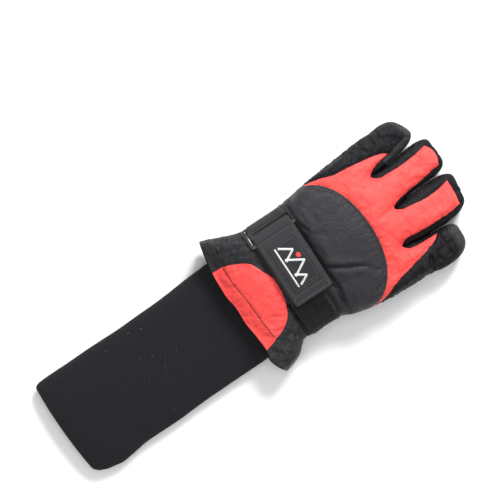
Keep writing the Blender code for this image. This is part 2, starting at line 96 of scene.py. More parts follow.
# --- the seams on the back ---
RED_SEAMS = [
    [(-56.4, 80), (-57, 88), (-54.2, 103), (-50.6, 113), (-49, 127), (-47, 140), (-44.4, 154), (-41.6, 161.5),
     (-39.3, 164.3)],
    [(-39.3, 164.3), (-37.4, 155), (-35.2, 145.5), (-31.4, 140.3), (-27.3, 144), (-25.7, 155), (-25.4, 172),
     (-26.8, 186), (-28.6, 194.5)],
    [(-28.6, 194.5), (-22, 198.4), (-14, 198.8), (-6.6, 196)],
    [(-6.6, 196), (-6.2, 189), (-3.8, 176), (-2.2, 160), (-0.8, 149), (3, 142.4), (6.4, 147), (8.9, 159),
     (10.5, 173), (9.8, 184), (7.5, 194.5)],
    [(7.5, 194.5), (19, 194.7), (31.3, 192.8)],
    [(31.3, 192.8), (32.8, 182), (33.1, 165), (32.3, 148), (31.2, 137), (34.2, 130.4), (38.8, 135),
     (40.5, 148), (41.2, 161.5)],
    [(41.2, 161.5), (45.5, 155.5), (50.4, 140), (54.4, 122), (59, 106), (63.2, 95), (64, 84), (62.8, 76)],
]
ARCH_MIDDLE, ARCH_HALF, ARCH_FOOT, ARCH_RISE, ARCH_POWER = 3.0, 60.5, 75.0, 40.6, 2.2
COVER_BOTTOM_Y = 23.0
PATCH_SEAM = [(-37.5, -20.6), (-36.5, -9), (-31.5, 3), (-25.5, 11.6), (-18.5, 15.4), (-12.5, 17.4),
              (-9, 20.2), (0, 21.2), (14, 20.2), (24, 17), (31.6, 11.8), (37, 4), (41, -6), (44.5, -18)]
INDEX_CAP_SEAM = [(-63, 179.6), (-59, 182), (-53, 184.6), (-45, 186.2), (-43.4, 184), (-40.2, 170),
                  (-38, 163), (-36, 150)]
LITTLE_CAP_SEAM = [(41, 171.4), (47, 172.4), (56, 172.6), (68.4, 168.4)]
LITTLE_SIDE_SEAM = [(66.8, 167), (66.6, 154), (64.8, 140), (65, 124), (64.6, 108), (64.8, 92)]
INDEX_SIDE_SEAM = [(-58.4, 92), (-59, 108), (-59.6, 124), (-60, 140), (-61.4, 152), (-61.6, 166), (-61, 180)]
HEM_STITCH = [(-63.6, -4), (-50, -8.6), (-36, -10.2), (-20, -10.4), (0, -8.2), (20, -7.6), (40, -6),
              (66, -4.4)]
LEATHER_SEAM = [(-11, 58), (-11, 112), (-8, 116), (34, 116), (38, 112), (38, 60), (34, 54), (-7, 54),
                (-11, 58)]
KNUCKLE_ROWS = (2.0, 4.2)
PINCH = [(9, 63.5), (14.5, 71), (20, 79), (25, 88), (31, 96), (40, 101.5)]

# --- the closure across the wrist ---
TAB = (-44.0, 28.0, 24.0, 62.0)
TAB_END_BOX = (19.5, 26.5, 26.0, 60.0)
LABEL = (-29.0, 17.5, 30.5, 59.0)
PEAK_FOOT_Y = 38.5
DOT, DOT_RADIUS = (-10.2, 50.4), 2.1
HOOK = (11.0, 25.0, 26.0, 51.0)
RING = (-53.4, -34.0, 18.6, 66.6)
RING_BAR = 4.4
BUCKLE_BAR_X = -47.0
TAB_BASE, TAB_THICK = 3.7, 1.7
RING_OVER = 2.3
LOOP_LEFT_X, LOOP_LOW_Y, LOOP_HIGH_Y = 22.0, 17.5, 52.0
ANCHOR_X, ANCHOR_LOW_Y, ANCHOR_HIGH_Y = -46.6, 24.5, 61.0

# --- the knit cuff ---
CUFF_INSIDE = ((-203.3, 1.4), (-202.8, 2.1), (-201, 2.6), (-190, 2.8), (-170, 2.8), (-130, 2.8),
               (-80, 2.8), (-38, 2.8), (0, 2.8))
CUFF_STATIONS = ((-203.4, -39.8, 48.0, 0.2, 13.5), (-199, -41.2, 51.5, 0, 15.5), (-191, -41.6, 54.5, 0, 16.5),
                 (-176, -41.7, 57, 0, 16.5), (-150, -42, 53.6, 0, 16.5), (-110, -42.3, 52.8, 0, 16.8),
                 (-80, -43, 51.6, 0, 17), (-60, -44.2, 51.4, 0, 17.2), (-40, -46, 51.2, 0, 18),
                 (-22, -46.8, 51, 1.8, 20.5), (-8, -46, 49, 3.4, 21.5), (6, -43, 44, 5, 22))
CUFF_POWER = 2.9
FLOOR_GAP = 0.1
LINING_TAPER = 0.0105
GAUNTLET_MIDDLE_X, HEM_ROLL = 1.5, 1.1
RIB_PITCH, STITCH_PITCH = 2.25, 1.5
RIB_RELIEF = 0.55


def smooth(low, high, value):
    """From 0 at low to 1 at high, with soft ends."""
    t = np.clip((np.asarray(value, float) - low) / (high - low), 0.0, 1.0)
    return t * t * (3.0 - 2.0 * t)


def bell(value, width, power=2):
    """1 where value is 0, falling to nothing over about twice the width."""
    return np.exp(-np.abs(value / width) ** power)


def lift(x, y):
    """How far the palm side is off the floor: the thumb lies under it."""
    along = smooth(LIFT_START_Y, LIFT_FULL_Y, y) - smooth(LIFT_FALL_Y, LIFT_END_Y, y)
    across = 1.0 - (1.0 - LITTLE_SIDE_SHARE) * smooth(LIFT_LOW_START_X, LIFT_LOW_END_X, x)
    return PALM_LIFT * along * across


def curve(points, step=CURVE_STEP):
    """A centripetal Catmull-Rom curve through the points, sampled about every step."""
    p = np.array(points, float)
    p = np.vstack([2 * p[0] - p[1], p, 2 * p[-1] - p[-2]])
    out = []
    for a, b, c, d in zip(p[:-3], p[1:-2], p[2:-1], p[3:]):
        t1 = max(np.linalg.norm(b - a), 1e-6) ** 0.5
        t2 = t1 + max(np.linalg.norm(c - b), 1e-6) ** 0.5
        t3 = t2 + max(np.linalg.norm(d - c), 1e-6) ** 0.5
        n = max(1, round(float(np.linalg.norm(c - b)) / step))
        t = np.linspace(t1, t2, n, endpoint=False)[:, None]
        a1 = (t1 - t) / t1 * a + t / t1 * b
        a2 = (t2 - t) / (t2 - t1) * b + (t - t1) / (t2 - t1) * c
        a3 = (t3 - t) / (t3 - t2) * c + (t - t2) / (t3 - t2) * d
        b1 = (t2 - t) / t2 * a1 + t / t2 * a2
        b2 = (t3 - t) / (t3 - t1) * a2 + (t - t1) / (t3 - t1) * a3
        out.append((t2 - t) / (t2 - t1) * b1 + (t - t1) / (t2 - t1) * b2)
    return np.vstack([*out, p[-2][None]])


def resampled(line, step):
    """The polyline with points a constant step apart."""
    gaps = np.linalg.norm(np.diff(line, axis=0), axis=1)
    run = np.concatenate([[0], np.cumsum(gaps)])
    n = max(2, int(round(run[-1] / step)) + 1)
    s = np.linspace(0, run[-1], n)
    return np.column_stack([np.interp(s, run, line[:, k]) for k in range(line.shape[1])])


def nearest(points, line):
    """For each point, its distance to the polyline and the nearest spot on it."""
    a, b = line[:-1], line[1:]
    ab = b - a
    length2 = np.maximum((ab ** 2).sum(1), 1e-12)
    best = np.full(len(points), 1e9)
    spot = np.zeros((len(points), 2))
    for start in range(0, len(points), 2000):
        p = points[start:start + 2000]
        t = np.clip(((p[:, None] - a[None]) * ab[None]).sum(2) / length2[None], 0, 1)
        q = a[None] + t[..., None] * ab[None]
        d2 = ((p[:, None] - q) ** 2).sum(2)
        k = d2.argmin(1)
        rows = np.arange(len(p))
        best[start:start + 2000] = np.sqrt(d2[rows, k])
        spot[start:start + 2000] = q[rows, k]
    return best, spot


def distance(points, line):
    return nearest(points, np.asarray(line, float))[0]


def closed(outline):
    """The outline with its first point again at the end."""
    return np.vstack([outline, outline[:1]])


def inside(points, polygon):
    """Which points lie inside the closed polygon."""
    x, y = points[:, 0], points[:, 1]
    hit = np.zeros(len(points), bool)
    for (x1, y1), (x2, y2) in zip(polygon, np.roll(polygon, -1, axis=0)):
        if y1 == y2:
            continue
        crossing = (y1 > y) != (y2 > y)
        hit ^= crossing & (x < (x2 - x1) * (y - y1) / (y2 - y1) + x1)
    return hit


def arch_points(shift=0.0):
    """The half moon's upper seam, moved inwards by shift."""
    angles = np.linspace(math.pi, 0, 240)
    c, s = np.cos(angles), np.sin(angles)
    x = ARCH_MIDDLE + (ARCH_HALF - shift) * np.sign(c) * np.abs(c) ** (2 / ARCH_POWER)
    y = ARCH_FOOT + (ARCH_RISE - shift) * np.abs(s) ** (2 / ARCH_POWER)
    return resampled(np.column_stack([x, y]), CURVE_STEP)


SIDES = [curve(o) for o in (INDEX_OUTLINE, MIDDLE_OUTLINE, RING_OUTLINE, LITTLE_OUTLINE)]
SIDE_LINE = np.vstack([[(-74, -44)], *[s[:-1] for s in SIDES], SIDES[-1][-1:], [(76, -44)]])
HEM_LINE = curve(HEM_OUTLINE)
OUTLINE = np.vstack([*[s[:-1] for s in SIDES], HEM_LINE[:-1]])
RED_LINES = [curve(s) for s in RED_SEAMS]
ARCH = arch_points()
RED_POLYGON = np.vstack([*RED_LINES, [(80, 60), (0, 40), (-80, 60)]])
ARCH_POLYGON = np.vstack([ARCH, [(80, 70), (80, COVER_BOTTOM_Y), (-80, COVER_BOTTOM_Y), (-80, 70)]])
CROTCH_LOW_Y, CROTCH_LEFT_X, CROTCH_RIGHT_X = 125.0, -40.0, 45.0
INDEX_CAP_FRONT = ([-64, -59, -53, -44], [179.2, 182, 184.6, 186.2])
INDEX_CAP_SIDE = ([150, 163, 170, 184, 186.2], [-36, -38, -40.2, -43.4, -45])
LITTLE_CAP_FRONT = ([41, 47, 56, 68.4], [171.4, 172.4, 172.6, 168.4])
PATCH_LINE = curve(PATCH_SEAM)
PATCH_POLYGON = np.vstack([PATCH_LINE, [(44.5, -40), (-37.5, -40)]])
INDEX_CAP_LINE, LITTLE_CAP_LINE = curve(INDEX_CAP_SEAM), curve(LITTLE_CAP_SEAM)
INDEX_SIDE_LINE, LITTLE_SIDE_LINE = curve(INDEX_SIDE_SEAM), curve(LITTLE_SIDE_SEAM)
LEATHER_LINE = resampled(np.array(LEATHER_SEAM, float), CURVE_STEP)
HEM_STITCH_LINE, PINCH_LINE = curve(HEM_STITCH), curve(PINCH)
SEWN_LINES = RED_LINES + [ARCH, PATCH_LINE, INDEX_CAP_LINE, LITTLE_CAP_LINE]
CREASE_X = {"index": ([130, 143, 178, 200], [-30.2, -31.2, -34.9, -36.6]),
            "middle": ([130, 144.5, 156, 170, 200], [4.6, 3.5, 1.0, 0, -0.6]),
            "ring": ([120, 131.5, 144, 157, 170, 185], [33, 34.8, 36.9, 38.3, 39.2, 40.6])}


def thickness(x, y):
    """From the palm side to the back: the stations along the glove, and a crown across it."""
    ys, ts = zip(*THICKNESS)
    crown = 2.2 * (1 - ((np.asarray(x) - 3) / 62) ** 2) * smooth(0, 40, y) * (1 - smooth(118, 150, y))
    return np.interp(y, ys, ts) + crown


def dome(d, y):
    """How full the section is, from 0 at the side edge to 1; the wrist is rounder than the hand."""
    wrist = smooth(0, 26, y) - smooth(62, 86, y)
    t = 1.0 - np.clip(np.asarray(d) / (EDGE_RADIUS + WRIST_EXTRA_RADIUS * wrist), 0, 1)
    return (1.0 - t ** DOME_POWER) ** (1.0 / DOME_POWER)


def shape_z(x, y, d, upper):
    """The smooth skin's height at a distance d from the side line, on the back or on the palm side."""
    half = thickness(x, y) / 2
    return lift(x, y) + half + (half if upper else -half) * dome(d, y)


def height_over(points):
    """The back's height at plan points, before any wrinkle."""
    return shape_z(points[:, 0], points[:, 1], distance(points, SIDE_LINE), True)


def fold_noise(points, scale, seed):
    """Smooth noise from -1 to 1 at 3-D points, stretched by scale."""
    shift = Vector((seed * 17.3, seed * 5.7, seed * 11.1))
    return np.array([noise.noise(Vector(p) + shift) for p in points * np.array(scale)])


# --- meshes ---
def make_object(name, verts, faces, material, uv=None, normals=None, smooth_faces=True):
    """An object in metres from points in millimetres, with a flat map in uv if given, one per point."""
    mesh = bpy.data.meshes.new(name)
    mesh.from_pydata((np.asarray(verts) * MM).tolist(), [], [list(map(int, f)) for f in faces])
    mesh.validate()
    if smooth_faces:
        mesh.polygons.foreach_set("use_smooth", [True] * len(mesh.polygons))
    if uv is not None:
        layer = mesh.uv_layers.new(name="Cloth")
        loops = np.zeros(len(mesh.loops), int)
        mesh.loops.foreach_get("vertex_index", loops)
        layer.data.foreach_set("uv", (np.asarray(uv)[loops] * UV_PER_MM).ravel())
    if normals is not None:
        mesh.normals_split_custom_set_from_vertices(np.asarray(normals).tolist())
    mesh.materials.append(material)
    obj = bpy.data.objects.new(name, mesh)
    bpy.context.scene.collection.objects.link(obj)
    return obj


def vertex_normals(verts, faces):
    a, b, c = (verts[faces[:, k]] for k in range(3))
    n = np.cross(b - a, c - a)
    out = np.zeros_like(verts)
    for k in range(3):
        np.add.at(out, faces[:, k], n)
    return out / np.maximum(np.linalg.norm(out, axis=1), 1e-12)[:, None]


def two_sided(faces, d):
    """Triangles of an upper and a lower sheet that share the points of their rim, where d is 0."""
    upper = np.arange(len(d))
    lower = np.where(d < RIM, upper, upper + len(d))
    return np.vstack([faces, lower[faces][:, ::-1]])


def part_of(name, triangles, verts, uv, normals, material):
    """An object from some of a skin's triangles, with the whole skin's normals."""
    used, local = np.unique(triangles, return_inverse=True)
    return make_object(name, verts[used], local.reshape(-1, 3), material, uv[used], normals[used])


def ring_faces(rows, around, first=0, joined=False):
    """Quads between rings of points that follow each other; joined also closes the last onto the first."""
    faces = []
    for j in range(rows if joined else rows - 1):
        a, b = first + j * around, first + (j + 1) % rows * around
        for k in range(around):
            m = (k + 1) % around
            faces.append((a + k, a + m, b + m, b + k))
    return faces


def triangulated(outline, lines, step, rings):
    """Plan points and triangles inside an outline, with the lines as edges and points along its rim."""
    rim = closed(outline)
    fixed, edges = [outline], [(i, (i + 1) % len(outline)) for i in range(len(outline))]
    count = len(outline)
    kept_lines = []
    for line in lines:
        line = line[inside(line, outline) & (distance(line, rim) > 0.5)]
        if len(line) < 2:
            continue
        edges += [(count + i, count + i + 1) for i in range(len(line) - 1)]
        fixed.append(line)
        kept_lines.append(line)
        count += len(line)
    tangent = np.roll(outline, -1, axis=0) - np.roll(outline, 1, axis=0)
    inward = np.column_stack([-tangent[:, 1], tangent[:, 0]])
    inward /= np.maximum(np.linalg.norm(inward, axis=1), 1e-9)[:, None]
    if not inside(outline[:1] + inward[:1] * 0.2, outline)[0]:
        inward = -inward
    loose = []
    for r in rings:
        p = outline + inward * r
        loose.append(p[(distance(p, rim) > r * 0.93) & inside(p, outline)])
    low, high = outline.min(0), outline.max(0)
    xs = np.arange(low[0], high[0], step)
    ys = np.arange(low[1], high[1], step * 0.866)
    grid = np.array([(x + (step / 2 if j % 2 else 0), y) for j, y in enumerate(ys) for x in xs])
    grid = grid[inside(grid, outline)]
    loose.append(grid[distance(grid, rim) > rings[-1] + step * 0.6])
    loose = np.vstack(loose)
    for line in kept_lines:
        loose = loose[distance(loose, line) > step * KEEP_OFF]
    points = np.vstack([*fixed, loose])
    made = delaunay_2d_cdt([Vector(p) for p in points], edges, [list(range(len(outline)))], 1, 1e-4)
    plan = np.array([tuple(v) for v in made[0]])
    faces = np.array([f for f in made[2] if len(f) == 3])
    a, b, c = (plan[faces[:, k]] for k in range(3))
    area = (b[:, 0] - a[:, 0]) * (c[:, 1] - a[:, 1]) - (b[:, 1] - a[:, 1]) * (c[:, 0] - a[:, 0])
    faces[area < 0] = faces[area < 0][:, ::-1]
    return plan, faces[np.abs(area) > 1e-7]


def pad(name, outline, base, thick, material, edge, step=1.3, uv_turn=0.0):
    """A flat patch laid on the back: its outline in plan, the height of its underside over the back, its
    thickness and the radius of its rounded edge. uv_turn turns the weave."""
    plan, faces = triangulated(outline, [], step, (edge * 0.12, edge * 0.45, edge))
    t = 1.0 - np.clip(distance(plan, closed(outline)) / edge, 0, 1)
    bottom = height_over(plan) + base
    top = bottom + thick * (0.35 + 0.65 * np.sqrt(np.maximum(1 - t ** 2, 0)))
    n = len(plan)
    verts = np.vstack([np.column_stack([plan, top]), np.column_stack([plan, bottom])])
    edges = {(f[k], f[(k + 1) % 3]): None for f in faces for k in range(3)}
    walls = []
    for a, b in edges:
        if (b, a) not in edges:
            walls += [(a, a + n, b + n), (a, b + n, b)]
    c, s = math.cos(uv_turn), math.sin(uv_turn)
    uv = np.vstack([plan @ np.array([[c, -s], [s, c]])] * 2)
    return make_object(name, verts, np.vstack([faces, faces[:, ::-1] + n, np.array(walls)]), material, uv)


def box_outline(x0, x1, y0, y1, corner, step=1.2):
    """A rectangle with round corners, anticlockwise."""
    points = []
    for cx, cy, start in ((x1 - corner, y0 + corner, -90), (x1 - corner, y1 - corner, 0),
                          (x0 + corner, y1 - corner, 90), (x0 + corner, y0 + corner, 180)):
        for a in np.linspace(start, start + 90, 7):
            points.append((cx + corner * math.cos(math.radians(a)), cy + corner * math.sin(math.radians(a))))
    return resampled(np.array(points + points[:1]), step)[:-1]


def tube(name, line, radius, material, sides, flat=1.0, joined=False):
    """A round bar along 3-D points, flat being its height over its width; joined makes it a ring."""
    line = np.asarray(line, float)
    n = len(line)
    ahead = np.roll(line, -1, axis=0) - np.roll(line, 1, axis=0)
    if not joined:
        ahead[0], ahead[-1] = line[1] - line[0], line[-1] - line[-2]
    ahead /= np.linalg.norm(ahead, axis=1)[:, None]
    side = np.cross(ahead, (0, 0, 1.0))
    side /= np.maximum(np.linalg.norm(side, axis=1), 1e-9)[:, None]
    up = np.cross(side, ahead)
    turns = [2 * math.pi * k / sides for k in range(sides)]
    verts = [line + side * radius * math.cos(a) + up * radius * flat * math.sin(a) for a in turns]
    faces = ring_faces(n, sides, joined=joined)
    if not joined:
        faces.append(tuple(range(sides - 1, -1, -1)))
        faces.append(tuple((n - 1) * sides + k for k in range(sides)))
    return make_object(name, np.stack(verts, 1).reshape(-1, 3), faces, material)


def stitch_row(name, lines, material, pitch=3.1, length=2.3, radius=0.3):
    """Short sewn stitches along 3-D lines, each a small capsule lying on the surface."""
    verts, faces = [], []
    sides, profile = 6, ((-0.5, 0.35), (-0.4, 0.85), (0.0, 1.0), (0.4, 0.85), (0.5, 0.35))
    for line in lines:
        line = resampled(np.asarray(line, float), pitch / 2)
        for i in range(1, len(line) - 1, 2):
            here, along = line[i], line[i + 1] - line[i - 1]
            along = along / max(np.linalg.norm(along), 1e-9)
            side = np.cross(along, (0, 0, 1.0))
            side /= max(np.linalg.norm(side), 1e-9)
            up = np.cross(side, along)
            first = len(verts)
            for t, r in profile:
                for k in range(sides):
                    a = 2 * math.pi * k / sides
                    sunk = -0.25 * (2 * t) ** 2 * radius
                    verts.append(here + along * t * length + side * r * radius * math.cos(a)
                                 + up * (r * radius * 0.8 * math.sin(a) + sunk))
            faces += ring_faces(len(profile), sides, first)
            faces.append(tuple(first + sides - 1 - k for k in range(sides)))
            faces.append(tuple(first + (len(profile) - 1) * sides + k for k in range(sides)))
    return make_object(name, verts, faces, material)


# --- materials ---
class Paint:
    """A material's nodes, with short calls for the ones that repeat."""

    def __init__(self, name, color, rough, sheen=0.0, specular=0.4):
        self.material = bpy.data.materials.new(name)
        self.material.use_nodes = True
        self.tree = self.material.node_tree
        self.shader = self.tree.nodes["Principled BSDF"]
        self.color = color
        self.shader.inputs["Base Color"].default_value = (*color, 1)
        self.shader.inputs["Roughness"].default_value = rough
        self.shader.inputs["Specular IOR Level"].default_value = specular
        self.shader.inputs["Sheen Weight"].default_value = sheen
        self.shader.inputs["Sheen Roughness"].default_value = 0.45

    def node(self, kind, **values):
        made = self.tree.nodes.new(kind)
        for key, value in values.items():
            if key in ("operation", "feature", "wave_type", "bands_direction", "wave_profile", "uv_map"):
                setattr(made, key, value)
            else:
                made.inputs[key.replace("_", " ")].default_value = value
        return made

    def link(self, a, b):
        self.tree.links.new(a, b)

    def where(self, flat=True):
        """The cloth's own flat map, or the object's space for pieces without one."""
        if flat:
            return self.node("ShaderNodeUVMap", uv_map="Cloth").outputs["UV"]
        return self.node("ShaderNodeTexCoord").outputs["Object"]

    def math(self, operation, a, b=None):
        made = self.node("ShaderNodeMath", operation=operation)
        for socket, value in zip(made.inputs, (a, b)):
            if value is None:
                continue
            if isinstance(value, (int, float)):
                socket.default_value = value
            else:
                self.link(value, socket)
        return made.outputs[0]

    def weighted(self, *terms):
        """The sum of (value, weight) pairs."""
        parts = [self.math("MULTIPLY", value, weight) for value, weight in terms]
        total = parts[0]
        for part in parts[1:]:
            total = self.math("ADD", total, part)
        return total

    def noise(self, where, scale, detail=3.0, rough=0.5):
        made = self.node("ShaderNodeTexNoise", Scale=scale, Detail=detail, Roughness=rough)
        self.link(where, made.inputs["Vector"])
        return made.outputs["Fac"]

    def waves(self, where, scale, direction, distortion=0.0):
        made = self.node("ShaderNodeTexWave", wave_type="BANDS", wave_profile="SIN",
                         bands_direction=direction, Scale=scale, Distortion=distortion)
        self.link(where, made.inputs["Vector"])
        return made.outputs["Fac"]

    def cells(self, where, scale, feature="F1"):
        made = self.node("ShaderNodeTexVoronoi", feature=feature, Scale=scale)
        self.link(where, made.inputs["Vector"])
        return made.outputs["Distance"]

    def tint(self, fac, low, high):
        """Colour that runs between two shades of the base colour as fac goes from 0 to 1."""
        ramp = self.tree.nodes.new("ShaderNodeValToRGB")
        for stop, share, position in zip(ramp.color_ramp.elements, (low, high), (0.2, 0.8)):
            stop.color = (*[min(1, c * share) for c in self.color], 1)
            stop.position = position
        self.link(fac, ramp.inputs["Fac"])
        self.link(ramp.outputs["Color"], self.shader.inputs["Base Color"])

    def roughness(self, fac, low, high):
        made = self.node("ShaderNodeMapRange", To_Min=low, To_Max=high)
        self.link(fac, made.inputs["Value"])
        self.link(made.outputs["Result"], self.shader.inputs["Roughness"])

    def bump(self, layers):
        """Bump layers of (height, strength, depth in millimetres), one feeding the next."""
        last = None
        for height, strength, depth in layers:
            made = self.node("ShaderNodeBump", Strength=strength, Distance=depth * MM)
            self.link(height, made.inputs["Height"])
            if last is not None:
                self.link(last, made.inputs["Normal"])
            last = made.outputs["Normal"]
        self.link(last, self.shader.inputs["Normal"])


def threads(per_mm):
    """The scale of a band texture, which shows 20 * scale / (2 * pi) bands per unit of the flat map."""
    return per_mm / UV_PER_MM * 2 * math.pi / 20


def woven(name, color, rough, per_mm, sheen=0.15, weave=0.35, ripstop=0.0, low=0.82, high=1.12,
          specular=0.35):
    """Plain-woven nylon: fine threads both ways, slubs, broad colour drift and small creases."""
    p = Paint(name, color, rough, sheen, specular)
    uv = p.where()
    warp, weft = p.waves(uv, threads(per_mm), "X", 0.6), p.waves(uv, threads(per_mm), "Y", 0.6)
    thread = p.math("MULTIPLY", warp, weft)
    if ripstop:
        grid = p.math("MAXIMUM", p.math("POWER", p.waves(uv, threads(ripstop), "X"), 14.0),
                      p.math("POWER", p.waves(uv, threads(ripstop), "Y"), 14.0))
        thread = p.math("ADD", thread, p.math("MULTIPLY", grid, 1.4))
    slub = p.noise(uv, 240, 2)
    drift = p.noise(uv, 9, 4, 0.6)
    p.tint(p.weighted((thread, 0.42), (slub, 0.33), (drift, 0.45)), low, high)
    p.roughness(slub, rough - 0.08, rough + 0.08)
    slow = p.math("ABSOLUTE", p.math("SUBTRACT", p.noise(uv, 11, 3, 0.6), 0.5))
    crease = p.math("MINIMUM", p.math("MULTIPLY", slow, 14.0), 1.0)
    rumple = p.noise(uv, 34, 5, 0.65)
    p.bump([(crease, 0.45, 0.45), (rumple, 0.4, 1.0), (thread, weave, 0.18), (slub, 0.3, 0.15)])
    return p.material


def leather(name, color, rough):
    """Pebbled leather: small irregular cells and fine pores, with smoother pebble tops painted lighter, a
    painted highlight, and painted shade in the creases between them.
    """
    p = Paint(name, color, rough, 0.05, 0.5)
    uv = p.where()
    bent = p.node("ShaderNodeVectorMath", operation="ADD")
    wobble = p.node("ShaderNodeTexNoise", Scale=60.0, Detail=2.0)
    p.link(uv, wobble.inputs["Vector"])
    scaled = p.node("ShaderNodeVectorMath", operation="SCALE")
    scaled.inputs["Scale"].default_value = 0.01
    p.link(wobble.outputs["Color"], scaled.inputs[0])
    p.link(uv, bent.inputs[0])
    p.link(scaled.outputs[0], bent.inputs[1])
    pebble = p.cells(bent.outputs[0], 150, "SMOOTH_F1")
    pore = p.noise(uv, 420, 3)
    # The tint paints the pebble tops lighter and the creases between them darker: painted highlight and
    # painted shade.
    p.tint(p.math("ADD", p.weighted((pebble, -0.6), (pore, 0.5)), 0.55), 0.75, 1.35)
    p.roughness(pebble, rough - 0.1, rough + 0.2)
    p.bump([(p.math("MULTIPLY", pebble, -1.0), 0.8, 0.35), (pore, 0.3, 0.12), (p.noise(uv, 22, 4), 0.3, 1.0)])
    return p.material


def webbing(name, color):
    """Tight twill tape: diagonal ribs crossed by fine yarns."""
    p = Paint(name, color, 0.72, 0.08, 0.3)
    uv = p.where()
    rib = p.waves(uv, threads(0.75), "DIAGONAL", 0.8)
    yarn = p.math("MULTIPLY", p.waves(uv, threads(1.5), "X", 0.4), p.waves(uv, threads(1.1), "Y", 0.4))
    fuzz = p.noise(uv, 300, 3)
    p.tint(p.weighted((rib, 0.35), (yarn, 0.4), (fuzz, 0.4)), 0.72, 1.25)
    p.bump([(rib, 0.3, 0.2), (yarn, 0.4, 0.2), (fuzz, 0.4, 0.2), (p.noise(uv, 18, 3), 0.2, 1.0)])
    return p.material


def pile(name, color, scale=240.0, depth=0.5):
    """Brushed loops: a fuzzy, uneven nap."""
    p = Paint(name, color, 0.95, 0.18, 0.15)
    where = p.where()
    loops = p.cells(where, scale)
    fuzz = p.noise(where, 380, 4, 0.7)
    p.tint(p.weighted((loops, 0.7), (fuzz, 0.5)), 0.55, 1.8)
    p.bump([(loops, 0.7, depth), (fuzz, 0.7, depth)])
    return p.material


def knitted(name, color):
    """Rib knit: rows of small V stitches along every rib, with a slight fuzz."""
    p = Paint(name, color, 0.92, 0.12, 0.2)
    uv = p.where()
    split = p.node("ShaderNodeSeparateXYZ")
    p.link(uv, split.inputs[0])
    across = p.math("MULTIPLY", split.outputs["X"], math.pi / (RIB_PITCH * UV_PER_MM))
    leg = p.math("ABSOLUTE", p.math("SINE", across))
    along = 2 * math.pi / (STITCH_PITCH * UV_PER_MM)
    row = p.math("SINE", p.weighted((split.outputs["Y"], along), (leg, 3.4)))
    fuzz = p.noise(uv, 330, 4, 0.7)
    p.tint(p.weighted((row, 0.16), (leg, 0.35), (fuzz, 0.62)), 0.25, 1.7)
    p.bump([(row, 0.45, 0.3), (fuzz, 0.55, 0.3), (p.noise(uv, 12, 3), 0.25, 1.2)])
    return p.material


def gloss_plastic(name, color, rough):
    """Moulded plastic: near smooth, with faint flow ripples and small scuffs."""
    p = Paint(name, color, rough, 0, 0.6)
    where = p.where(False)
    scuff = p.noise(where, 900, 4, 0.6)
    p.roughness(scuff, rough - 0.08, rough + 0.16)
    p.tint(scuff, 0.8, 1.3)
    p.bump([(p.noise(where, 300, 2), 0.15, 0.3), (scuff, 0.1, 0.1)])
    return p.material


def thread_paint(name, color, sheen=0.2):
    """Twisted sewing thread."""
    p = Paint(name, color, 0.62, sheen, 0.4)
    twist = p.waves(p.where(False), 2200, "DIAGONAL", 1.0)
    p.tint(twist, 0.8, 1.15)
    p.bump([(twist, 0.5, 0.15)])
    return p.material


def smooth_suede(name, color):
    """Soft microfibre with a brushed nap."""
    p = Paint(name, color, 0.7, 0.35, 0.3)
    uv = p.where()
    nap = p.noise(uv, 150, 5, 0.7)
    p.tint(p.noise(uv, 20, 4), 0.85, 1.2)
    p.bump([(nap, 0.35, 0.25), (p.noise(uv, 16, 4), 0.25, 1.2)])
    return p.material


def floor_paint():
    """A near white floor with a faint unevenness."""
    p = Paint("pale_floor", (0.93, 0.93, 0.935), 0.85, 0, 0.2)
    where = p.where(False)
    p.tint(p.noise(where, 4, 3), 0.985, 1.01)
    p.bump([(p.noise(where, 200, 3), 0.04, 0.1)])
    return p.material


RED = woven("coral_nylon", (0.87, 0.064, 0.057), 0.6, 0.9, sheen=0.08, weave=0.5, low=0.74, high=1.14)
# The black nylon's tint runs from half to 1.65 times its colour: partly random tone, partly painted
# highlights scattered at random.
BLACK = woven("black_nylon", (0.0048, 0.0048, 0.0062), 0.54, 0.9, sheen=0.01, weave=0.5, low=0.5, high=1.65,
              specular=0.14)
# gauntlet_nylon_painted_light is a lighter, glossier copy of black_nylon: painted light on the gauntlet,
# against the darker copy on the rest of the black shell.
GAUNTLET_BLACK_PAINTED_LIGHT = woven("gauntlet_nylon_painted_light", (0.0145, 0.0145, 0.017), 0.52, 0.9, sheen=0.02, weave=0.5, low=0.5,
                       high=1.6, specular=0.24)
RIPSTOP = woven("charcoal_ripstop", (0.0155, 0.0155, 0.0185), 0.52, 1.1, sheen=0.04, weave=0.6, ripstop=0.5,
                specular=0.28, low=0.7, high=1.35)
LEATHER = leather("pebbled_leather", (0.0115, 0.0115, 0.0135), 0.48)
TIP_LEATHER = leather("fingertip_leather", (0.0042, 0.0042, 0.0056), 0.56)
SMOOTH_GREY = smooth_suede("smooth_microfibre", (0.016, 0.016, 0.019))
WEBBING = webbing("twill_webbing", (0.025, 0.025, 0.028))
LABEL_CLOTH = webbing("label_cloth", (0.018, 0.018, 0.021))
LOOP = pile("loop_pile", (0.0038, 0.0038, 0.0048))
HOOKS = pile("hook_tape", (0.014, 0.014, 0.015), 420.0, 0.6)
GLOSS = gloss_plastic("gloss_plastic", (0.022, 0.022, 0.024), 0.22)
KNIT = knitted("rib_knit", (0.0095, 0.0095, 0.012))
FLEECE = pile("brushed_fleece", (0.05, 0.05, 0.055), 150.0, 0.8)
PIPING = woven("seam_piping", (0.022, 0.022, 0.025), 0.6, 1.6)
DARK_THREAD = thread_paint("dark_thread", (0.02, 0.02, 0.022))
GREY_THREAD = thread_paint("grey_thread", (0.055, 0.055, 0.06))
LINT = thread_paint("lint", (0.22, 0.22, 0.23))
RED_THREAD = thread_paint("dark_red_thread", (0.07, 0.006, 0.006))
WHITE_THREAD = thread_paint("white_thread", (0.86, 0.86, 0.86), 0.1)
